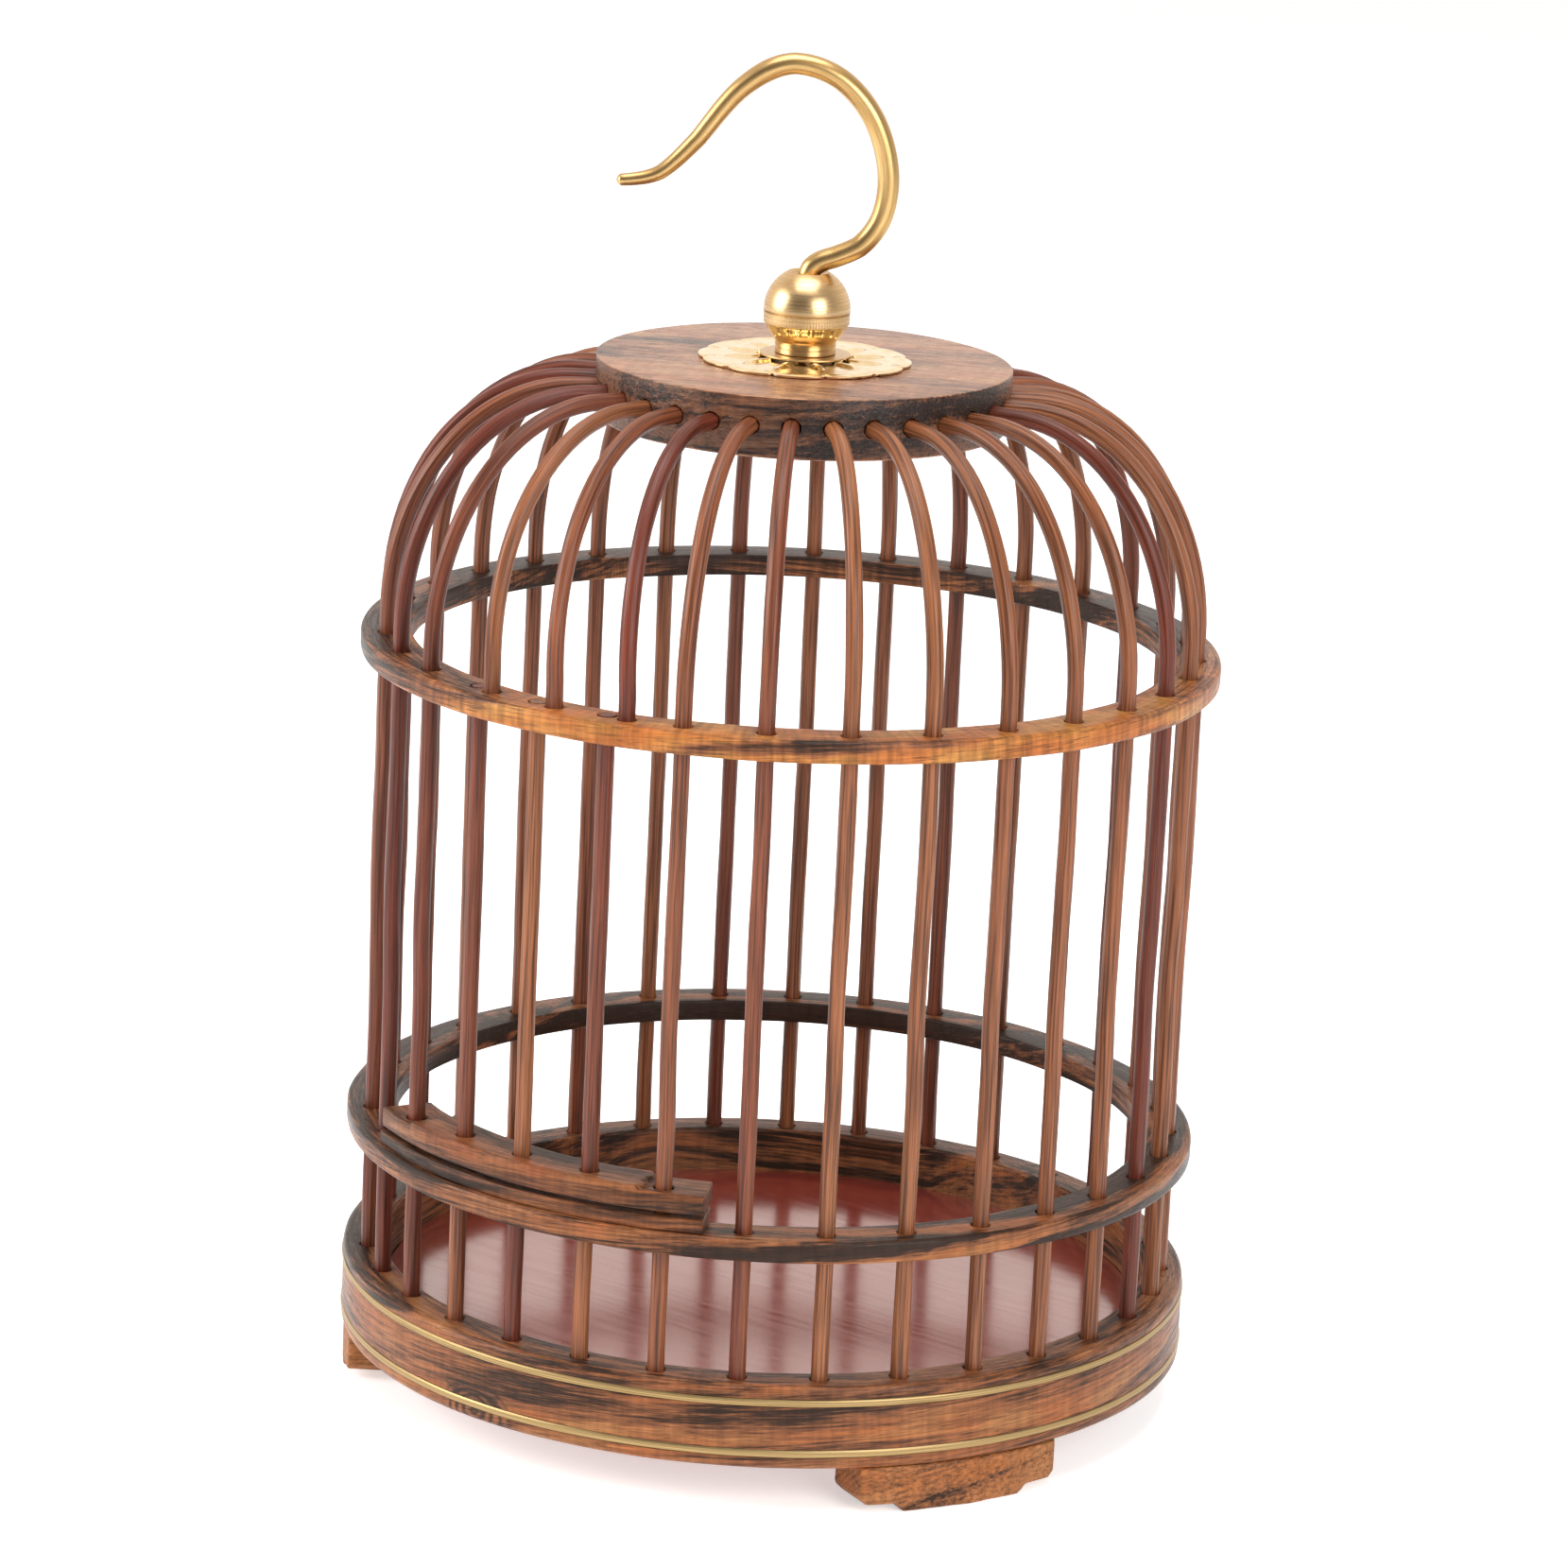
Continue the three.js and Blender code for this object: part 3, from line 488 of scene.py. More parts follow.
@dataclass(frozen=True)
class Brass(Finish):
    """Bare yellow brass.

    To the eye it is warm gold that mirrors the room, sharply where it is polished and drawn out across its
    fine marks where it was turned or drawn.
    """

    worked: Worked
    colour: str = "#D6B68A"
    tarnish: str = "#BC9A68"
    roughness: float = 0.22
    bump: float = 0.02  # mm

    def marks(self, tree: Tree) -> Node:
        """The fine marks that the making left.

        Args:
            tree: The material's nodes.

        Returns:
            The marks' node, round about 0.5.
        """
        if self.worked is Worked.DRAWN:
            fibre = add_node(tree, "ShaderNodeAttribute", attribute_name="fibre").outputs["Vector"]
            line = add_node(tree, "ShaderNodeVectorMath", fibre, (1, 1, 1 / 30), operation="MULTIPLY")
            return add_node(tree, "ShaderNodeTexNoise", line, 1 / 0.25, 3.0)
        place = add_node(tree, "ShaderNodeTexCoord").outputs["Object"]
        scaled = add_node(tree, "ShaderNodeVectorMath", place, 1 / MM, operation="SCALE")
        if self.worked is Worked.POLISHED:
            return add_node(tree, "ShaderNodeTexNoise", scaled, 1 / 1.6, 2.0)
        x, y, z = add_node(tree, "ShaderNodeSeparateXYZ", scaled).outputs
        level_place = add_node(tree, "ShaderNodeCombineXYZ", x, y)
        radius = add_node(tree, "ShaderNodeVectorMath", level_place, operation="LENGTH")
        path = add_node(tree, "ShaderNodeCombineXYZ", radius, z)
        return add_node(tree, "ShaderNodeTexNoise", path, 1 / 0.16, 2.0)

    def inputs(self, tree: Tree) -> dict[str, object]:
        """The inputs of the shader, by name."""
        marks = self.marks(tree)
        share = add_node(tree, "ShaderNodeMapRange", marks, 0.3, 0.7)
        dull, bright = self.roughness * 1.3, self.roughness * 0.8
        bump = {"Height": marks, "Strength": 0.5, "Distance": self.bump * MM}
        return {
            "Base Color": add_node(tree, "ShaderNodeMix", share, self.tarnish, self.colour, data_type="RGBA"),
            "Roughness": add_node(tree, "ShaderNodeMapRange", marks, 0.3, 0.7, dull, bright),
            "Normal": add_node(tree, "ShaderNodeBump", bump),
            "Metallic": 1.0,
        }


@dataclass(frozen=True)
class Paper(Finish):
    """Matt white paper, which glows a little so that it stays pale under the soft lights."""

    grey: str = "#F4F3F1"
    white: str = "#FAF9F8"

    def inputs(self, tree: Tree) -> dict[str, object]:
        """The inputs of the shader, by name."""
        place = add_node(tree, "ShaderNodeTexCoord").outputs["Object"]
        speckle = add_node(tree, "ShaderNodeTexNoise", place, 300.0)
        return {
            "Base Color": add_node(tree, "ShaderNodeMix", speckle, self.grey, self.white, data_type="RGBA"),
            "Roughness": 0.9,
            "Emission Color": (1.0, 1.0, 1.0, 1.0),
            "Emission Strength": 0.5,
        }


@dataclass(frozen=True)
class Finishes:
    """Every finish of the cage, made once."""

    base_wood: Material
    upper_wood: Material
    lower_wood: Material
    foot_wood: Material
    door_wood: Material
    cap_wood: Material
    bamboo: Material
    lacquer: Material
    wire_brass: Material
    turned_brass: Material
    bowl_brass: Material
    rosette_brass: Material
    inlay_brass: Material

    @classmethod
    def make(cls) -> "Finishes":
        """Makes all the finishes.

        Returns:
            The finishes.
        """
        gold = "#E2BC7C"
        return cls(
            base_wood=Rosewood("rosewood_base", tilt=3.0, knot=(-41.6, 60.0, 8.0), seed=3.0).material(),
            upper_wood=Rosewood(
                "rosewood_upper_hoop",
                light="#A06D38",
                warm="#9A5A2C",
                # a strong painted sheen across the fibres
                figure_sheen=0.3,
                # painted shade towards the back of the hoop
                across=0.005,
                streak=(2.0, 60.0, 106.6),
                seed=61.0,
            ).material(),
            lower_wood=Rosewood(
                # across: painted shade towards the back of the hoop
                "rosewood_lower_hoop", darkness=0.16, across=0.0012, streak=(10.0, 60.0, 37.6), seed=31.0
            ).material(),
            foot_wood=Rosewood(
                "rosewood_feet",
                light="#93613B",
                warm="#93582F",
                middle="#74492D",
                darkness=-0.22,
                bent=False,
                pith=(-30.0, -70.0),
                sawn=1.2,
                roughness=0.5,
                seed=88.0,
            ).material(),
            door_wood=Rosewood(
                "rosewood_door", light="#774B2E", warm="#7A4427", middle="#593521", seed=140.0
            ).material(),
            cap_wood=Rosewood(
                "rosewood_cap",
                light="#9A6E4E",
                warm="#966243",
                middle="#744A33",
                dark="#2C1B14",
                darkness=-0.14,
                bent=False,
                fibre_azimuth=24.0,
                pith=(-20.0, 40.0),
                torn=1.6,
                # darker upright faces: painted shade
                upright_shade=0.4,
                gloss=0.3,
                roughness=0.24,
                seed=200.0,
            ).material(),
            bamboo=Bamboo("stained_bamboo").material(),
            lacquer=Lacquer("floor_lacquer").material(),
            wire_brass=Brass("drawn_brass_wire", Worked.DRAWN, "#CBAA76", "#A98651", 0.32).material(),
            turned_brass=Brass("turned_brass", Worked.TURNED, roughness=0.3, bump=0.01).material(),
            bowl_brass=Brass("polished_brass_bowl", Worked.POLISHED, colour=gold, roughness=0.12).material(),
            rosette_brass=Brass(
                "pressed_brass_rosette", Worked.POLISHED, "#F1DFBA", "#E4CB9B", 0.16
            ).material(),
            inlay_brass=Brass("brass_inlay_strip", Worked.TURNED, "#AF966A", "#846C46", 0.42).material(),
        )


# ---- Shapes -------------------------------------------------------------------------------------


class Ends(Enum):
    """What becomes of the first and the last section of a lofted body."""

    JOINED = "the last section joins the first"
    CAPPED = "each end has a flat face"
    OPEN = "the ends stay open, to meet the next copy"


def lofted(name: str, sections: Sequence[Sequence[Vector]], ends: Ends) -> Object:
    """Skins closed sections that all have the same number of points.

    Args:
        name: The object's name.
        sections: The sections in order, in metres.
        ends: What becomes of the two ends.

    Returns:
        The new object, linked to the scene.
    """
    count = len(sections[0])
    points = [point for section in sections for point in section]
    spans = len(sections) if ends is Ends.JOINED else len(sections) - 1
    faces = []
    for span in range(spans):
        here = span * count
        there = (span + 1) % len(sections) * count
        for i in range(count):
            after = (i + 1) % count
            corners = (here + i, there + i, there + after, here + after)
            places = {tuple(round(value, 9) for value in points[c]) for c in corners}
            if len(places) > 2:
                faces.append(corners)
    if ends is Ends.CAPPED:
        faces.append(tuple(range(count)))
        faces.append(tuple(reversed(range(len(points) - count, len(points)))))
    mesh = bpy.data.meshes.new(name)
    mesh.from_pydata([tuple(point) for point in points], [], faces)
    body = bpy.data.objects.new(name, mesh)
    bpy.context.scene.collection.objects.link(body)
    merge(body, outwards=ends is not Ends.OPEN)
    return body


def merge(body: Object, outwards: bool = True) -> None:
    """Merges vertices that share a place, drops what collapsed, and may turn all faces outwards.

    Args:
        body: The mesh object.
        outwards: Whether to turn the faces, which only a closed body allows.
    """
    mesh = bmesh.new()
    mesh.from_mesh(body.data)
    bmesh.ops.remove_doubles(mesh, verts=mesh.verts, dist=1e-3 * MM)
    bmesh.ops.dissolve_degenerate(mesh, edges=mesh.edges, dist=1e-4 * MM)
    loose = [vertex for vertex in mesh.verts if not vertex.link_faces]
    bmesh.ops.delete(mesh, geom=loose, context="VERTS")
    if outwards:
        bmesh.ops.recalc_face_normals(mesh, faces=mesh.faces)
    mesh.to_mesh(body.data)
    mesh.free()


def at_azimuth(outline: Outline, azimuth: float) -> list[Vector]:
    """An outline of (radius, height) points, stood at an azimuth.

    Args:
        outline: The outline in millimetres.
        azimuth: The azimuth in degrees.

    Returns:
        The points in metres.
    """
    angle = math.radians(azimuth)
    return [Vector((r * math.cos(angle), r * math.sin(angle), z)) * MM for r, z in outline]


def turned(
    name: str,
    outline_at: Callable[[float], Outline],
    columns: int,
    first: float = 0.0,
    span: float = 360.0,
    ends: Ends = Ends.JOINED,
) -> Object:
    """A body turned round Z, whose outline may change on the way round.

    Args:
        name: The object's name.
        outline_at: Gives the outline, anticlockwise, for a share from 0 to 1 of the way round.
        columns: The number of steps round.
        first: The azimuth at which it starts, in degrees.
        span: How far it goes round, in degrees.
        ends: What becomes of its two ends.

    Returns:
        The new object.
    """
    steps = range(columns if ends is Ends.JOINED else columns + 1)
    sections = [at_azimuth(outline_at(i / columns), first + span * i / columns) for i in steps]
    return lofted(name, sections, ends)


def filleted(corners: Sequence[tuple[float, float, float]], steps: int = 4) -> Outline:
    """An outline whose corners are rounded.

    Args:
        corners: Each corner's two coordinates and its fillet's radius, anticlockwise.
        steps: The number of steps in each fillet.

    Returns:
        The outline.
    """
    outline: Outline = []
    for i, (across, up, radius) in enumerate(corners):
        if radius == 0:
            outline.append((across, up))
            continue
        here = Vector((across, up))
        before = (Vector(corners[i - 1][:2]) - here).normalized()
        after = (Vector(corners[(i + 1) % len(corners)][:2]) - here).normalized()
        half = before.angle(after) / 2
        centre = here + (before + after).normalized() * radius / math.sin(half)
        start = here + before * radius / math.tan(half) - centre
        end = here + after * radius / math.tan(half) - centre
        sweep = math.atan2(start.x * end.y - start.y * end.x, start.dot(end))
        for k in range(steps + 1):
            angle = sweep * k / steps
            x = start.x * math.cos(angle) - start.y * math.sin(angle)
            y = start.x * math.sin(angle) + start.y * math.cos(angle)
            outline.append((centre.x + x, centre.y + y))
    return outline


def plain_mesh(body: Object) -> None:
    """Turns the body with its modifiers into a plain mesh, and removes the modifiers."""
    graph = bpy.context.evaluated_depsgraph_get()
    body.data = bpy.data.meshes.new_from_object(body.evaluated_get(graph), depsgraph=graph)
    body.modifiers.clear()


def cut_out(body: Object, *cutters: Object) -> None:
    """Cuts each of the cutters out of the body, and removes them."""
    for cutter in cutters:
        modifier = body.modifiers.new("cut", "BOOLEAN")
        modifier.object = cutter
        modifier.solver = "EXACT"
        plain_mesh(body)
        bpy.data.objects.remove(cutter)


def hand_worked(body: Object, depth: float, size: float) -> None:
    """Moves the surface a little out of true, as hand tools leave it.

    Args:
        body: The mesh object.
        depth: How far it moves at most, in mm.
        size: The size of the unevenness, in mm.
    """
    for vertex in body.data.vertices:
        vertex.co += noise.noise_vector(vertex.co / (size * MM)) * depth * MM


def hand_over(
    body: Object, finish: Material, rides: str, slot: str, *nodes: str, sharp_from: float = 32.0
) -> None:
    """Shades a piece smooth but for its sharp edges, gives it its finish and hands it to the frame.

    Args:
        body: The piece.
        finish: Its material.
        rides: The CAD body that it moves with.
        slot: The record's slot that its finish belongs to; not used.
        nodes: The CAD nodes that it stands for.
        sharp_from: The angle in degrees past which an edge stays sharp.
    """
    body.data.shade_smooth()
    body.data.set_sharp_from_angle(angle=math.radians(sharp_from))
    body.data.materials.clear()
    body.data.materials.append(finish)
    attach(body, rides)
    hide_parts(*nodes)
    log.info("%s: %d faces for %s", body.name, len(body.data.polygons), ", ".join(nodes))


def level(node: str) -> tuple[float, float]:
    """The bottom and the top of a CAD node, in millimetres."""
    low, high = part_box(node)
    return low.z / MM, high.z / MM


def rim(node: str) -> float:
    """The outer radius of a CAD node that stands round the axis, in millimetres."""
    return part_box(node)[1].x / MM


# ---- Geometry Nodes -----------------------------------------------------------------------------


def new_tree(name: str, inputs: dict[str, str]) -> tuple[Tree, Node]:
    """Makes a Geometry Nodes tree with a geometry in and out, and named inputs that end with Material.

    Args:
        name: The tree's name.
        inputs: The socket type of each input but the geometry and the material, by name.

    Returns:
        The tree and its input node.
    """
    tree = bpy.data.node_groups.new(name, "GeometryNodeTree")
    for label, kind in {"Geometry": "Geometry", **inputs, "Material": "Material"}.items():
        tree.interface.new_socket(label, in_out="INPUT", socket_type=f"NodeSocket{kind}")
    tree.interface.new_socket("Geometry", in_out="OUTPUT", socket_type="NodeSocketGeometry")
    return tree, add_node(tree, "NodeGroupInput")


def end_tree(tree: Tree, given: Node, geometry: Source) -> Tree:
    """Gives the geometry the tree's material and makes it the tree's result.

    Args:
        tree: The tree.
        given: Its input node.
        geometry: The finished geometry.

    Returns:
        The tree.
    """
    coated = {"Geometry": geometry, "Material": given.outputs["Material"]}
    add_node(tree, "NodeGroupOutput", {0: add_node(tree, "GeometryNodeSetMaterial", coated)})
    return tree


def run_tree(body: Object, tree: Tree, values: dict[str, object]) -> None:
    """Runs a Geometry Nodes tree on a body and leaves a plain mesh.

    Args:
        body: The object that the tree's geometry comes from.
        tree: The tree.
        values: Each input's value, by name.
    """
    modifier = body.modifiers.new(tree.name, "NODES")
    modifier.node_group = tree
    for item in tree.interface.items_tree:
        if item.item_type == "SOCKET" and item.in_out == "INPUT" and item.name in values:
            modifier[item.identifier] = values[item.name]
    plain_mesh(body)


def placed_round(tree: Tree, given: Node, instance: Source) -> Node:
    """Adds the nodes that put copies of a shape round Z, each with its number in the attribute copy.

    Args:
        tree: The tree, whose inputs include Count, First Azimuth and Pitch.
        given: Its input node.
        instance: The shape.

    Returns:
        The node of the copies, realised.
    """
    count, first, pitch = (given.outputs[label] for label in ("Count", "First Azimuth", "Pitch"))
    points = add_node(tree, "GeometryNodeMeshLine", {"Count": count, "Offset": (0.0, 0.0, 0.0)})
    index = add_node(tree, "GeometryNodeInputIndex")
    number = {"Geometry": points, "Name": "copy", "Value": index}
    numbered = add_node(tree, "GeometryNodeStoreNamedAttribute", number)
    azimuth = add_node(tree, "ShaderNodeMath", index, pitch, first, operation="MULTIPLY_ADD")
    angle = add_node(tree, "ShaderNodeMath", azimuth, operation="RADIANS")
    turn = add_node(tree, "ShaderNodeCombineXYZ", {"Z": angle})
    copies = {"Points": numbered, "Instance": instance, "Rotation": turn}
    placed = add_node(tree, "GeometryNodeInstanceOnPoints", copies)
    return add_node(tree, "GeometryNodeRealizeInstances", placed)


def round_array_tree() -> Tree:
    """The tree that repeats a shape round Z and joins the copies where they meet.

    Returns:
        The tree, with the inputs Count, First Azimuth, Pitch and Material.
    """
    tree, given = new_tree("round_array", {"Count": "Int", "First Azimuth": "Float", "Pitch": "Float"})
    copies = placed_round(tree, given, given.outputs["Geometry"])
    near = {"Geometry": copies, "Distance": 2e-3 * MM}
    return end_tree(tree, given, add_node(tree, "GeometryNodeMergeByDistance", near))


def rods_tree() -> Tree:
    """The tree that sweeps round rods along a centre line and repeats them round Z.

    The centre line carries two attributes: slack, how freely the rod may wander there, and girth, its
    thickness as a share of the full one. The rods carry fibre, their surface laid out in mm, and tone.

    Returns:
        The tree.
    """
    whole = dict.fromkeys(("Count", "Sides", "Seed"), "Int")
    shares = dict.fromkeys(("First Azimuth", "Pitch", "Radius", "Waviness", "Unevenness"), "Float")
    tree, given = new_tree("rods", {**whole, **shares})
    seed, radius, waviness, unevenness, sides = (
        given.outputs[label] for label in ("Seed", "Radius", "Waviness", "Unevenness", "Sides")
    )
    line = add_node(tree, "GeometryNodeMeshToCurve", {0: given.outputs["Geometry"]})
    lines = placed_round(tree, given, line)
    copy, slack, girth, length = (
        add_node(tree, "GeometryNodeInputNamedAttribute", {"Name": label})
        for label in ("copy", "slack", "girth", "along")
    )
    spread = add_node(tree, "ShaderNodeMath", copy, 7.3, seed, operation="MULTIPLY_ADD")
    distance = add_node(tree, "GeometryNodeSplineParameter").outputs["Length"]
    along = add_node(tree, "ShaderNodeMath", distance, 1 / MM, operation="MULTIPLY")
    where = add_node(tree, "ShaderNodeCombineXYZ", {"X": spread, "Z": along})
    wave = add_node(tree, "ShaderNodeTexNoise", where, 1 / 32, 1.0).outputs["Color"]
    centred = add_node(tree, "ShaderNodeVectorMath", wave, (0.5,) * 3, operation="SUBTRACT")
    reach = add_node(tree, "ShaderNodeMath", slack, waviness, operation="MULTIPLY")
    offset = add_node(tree, "ShaderNodeVectorMath", centred, reach, operation="SCALE")
    tone = add_node(tree, "FunctionNodeRandomValue", {"ID": copy, "Seed": seed})
    stored = add_node(tree, "GeometryNodeSetPosition", {"Geometry": lines, "Offset": offset})
    for label, value in (("along", along), ("tone", tone)):
        keep = {"Geometry": stored, "Name": label, "Value": value}
        stored = add_node(tree, "GeometryNodeStoreNamedAttribute", keep)
    circle = add_node(tree, "GeometryNodeCurvePrimitiveCircle", {"Resolution": sides, "Radius": radius})
    keep = {"Geometry": circle, "Name": "section", "Value": add_node(tree, "GeometryNodeInputPosition")}
    marked = add_node(tree, "GeometryNodeStoreNamedAttribute", keep, data_type="FLOAT_VECTOR")
    swept = {"Curve": stored, "Profile Curve": marked, "Scale": girth, "Fill Caps": True}
    rods = add_node(tree, "GeometryNodeCurveToMesh", swept)
    across = add_node(tree, "GeometryNodeInputNamedAttribute", {"Name": "section"}, data_type="FLOAT_VECTOR")
    wide = add_node(tree, "ShaderNodeVectorMath", across, 1 / MM, operation="SCALE")
    upright = add_node(tree, "ShaderNodeCombineXYZ", {"Z": length})
    fibre = add_node(tree, "ShaderNodeVectorMath", wide, upright)
    keep = {"Geometry": rods, "Name": "fibre", "Value": fibre}
    laid = add_node(tree, "GeometryNodeStoreNamedAttribute", keep, data_type="FLOAT_VECTOR")
    long = add_node(tree, "ShaderNodeVectorMath", fibre, (1, 1, 1 / 20), operation="MULTIPLY")
    dents = add_node(tree, "ShaderNodeTexNoise", long, spread, 1 / 0.8, 1.0, noise_dimensions="4D")
    level_dents = add_node(tree, "ShaderNodeMath", dents, 0.5, operation="SUBTRACT")
    depth = add_node(tree, "ShaderNodeMath", level_dents, unevenness, operation="MULTIPLY")
    normal = add_node(tree, "GeometryNodeInputNormal")
    push = add_node(tree, "ShaderNodeVectorMath", normal, depth, operation="SCALE")
    dented = add_node(tree, "GeometryNodeSetPosition", {"Geometry": laid, "Offset": push})
    return end_tree(tree, given, dented)


@dataclass(frozen=True)
class Trees:
    """The Geometry Nodes trees that the sub-assemblies share."""

    round_array: Tree
    rods: Tree

    def repeat(self, body: Object, count: int, first: float = 0.0, pitch: float | None = None) -> None:
        """Repeats a body round Z.

        Args:
            body: The shape to repeat, which becomes the whole set.
            count: How many copies.
            first: The first one's azimuth, in degrees.
            pitch: The angle from one to the next, or None to share out a full turn.
        """
        step = 360.0 / count if pitch is None else pitch
        run_tree(body, self.round_array, {"Count": count, "First Azimuth": first, "Pitch": float(step)})
        merge(body)


def centre_line(name: str, points: Sequence[tuple[Vector, float, float]]) -> Object:
    """A line of points for the rods tree.

    Args:
        name: The object's name.
        points: Each point in millimetres, with its slack and its girth.

    Returns:
        The new object.
    """
    mesh = bpy.data.meshes.new(name)
    edges = [(i, i + 1) for i in range(len(points) - 1)]
    mesh.from_pydata([tuple(point * MM) for point, _, _ in points], edges, [])
    for label, column in (("slack", 1), ("girth", 2)):
        values = mesh.attributes.new(label, "FLOAT", "POINT")
        for i, point in enumerate(points):
            values.data[i].value = point[column]
    body = bpy.data.objects.new(name, mesh)
    bpy.context.scene.collection.objects.link(body)
    return body


# ---- The round layout that the wooden pieces share ----------------------------------------------


@dataclass(frozen=True)
class Layout:
    """Where the bars stand, in millimetres and degrees."""

    bars: int = 32
    bar_radius: float = 1.15
    bar_circle: float = 56.5
    door_circle: float = 55.7
    guide_index: int = 2  # bars from the middle of the door to each guide bar
    hole_gap: float = 0.14
    slide_gap: float = 0.25
    dome_foot: float = 3.25  # along the hoop, from a door bar's hole to the dome bar beside it
    foot_socket: float = 2.4  # depth of that dome bar's hole

    @property
    def pitch(self) -> float:
        """The angle from one bar to the next."""
        return 360.0 / self.bars

    @property
    def first_door(self) -> float:
        """The azimuth of the first bar of the door."""
        return DOOR_AZIMUTH - (self.guide_index - 1) * self.pitch

    @property
    def door_count(self) -> int:
        """The number of bars in the door."""
        return 2 * self.guide_index - 1

    @property
    def first_arch(self) -> float:
        """The azimuth of the first bar that runs all the way up."""
        return DOOR_AZIMUTH + self.guide_index * self.pitch

    @property
    def arches(self) -> int:
        """The number of bars that run all the way up."""
        return self.bars - self.door_count

    @property
    def foot_turn(self) -> float:
        """The angle from a door bar to the foot of the dome bar beside it."""
        return math.degrees(self.dome_foot / self.bar_circle)

    def drill(self, circle: float, bottom: float, top: float, gap: float | None = None) -> Object:
        """A peg that cuts one bar's hole, with a slight break at its upper and lower rims.

        Args:
            circle: The radius of the circle that it stands on.
            bottom: Where it ends, which lies below the wood for a hole right through.
            top: The face that the hole opens in.
            gap: The room round the bar, or None for a glued bar's.

        Returns:
            The cutter, at azimuth 0.
        """
        radius = self.bar_radius + (self.hole_gap if gap is None else gap)
        bevel = 0.16
        outline = [(0, bottom), (radius, bottom), (radius, top - bevel), (radius + bevel, top)]
        outline += [(radius + bevel, top + 1), (0, top + 1)]
        peg = turned("drill", lambda _: outline, 20)
        peg.data.transform(Matrix.Translation((circle * MM, 0, 0)))
        return peg


# ---- Base ---------------------------------------------------------------------------------------


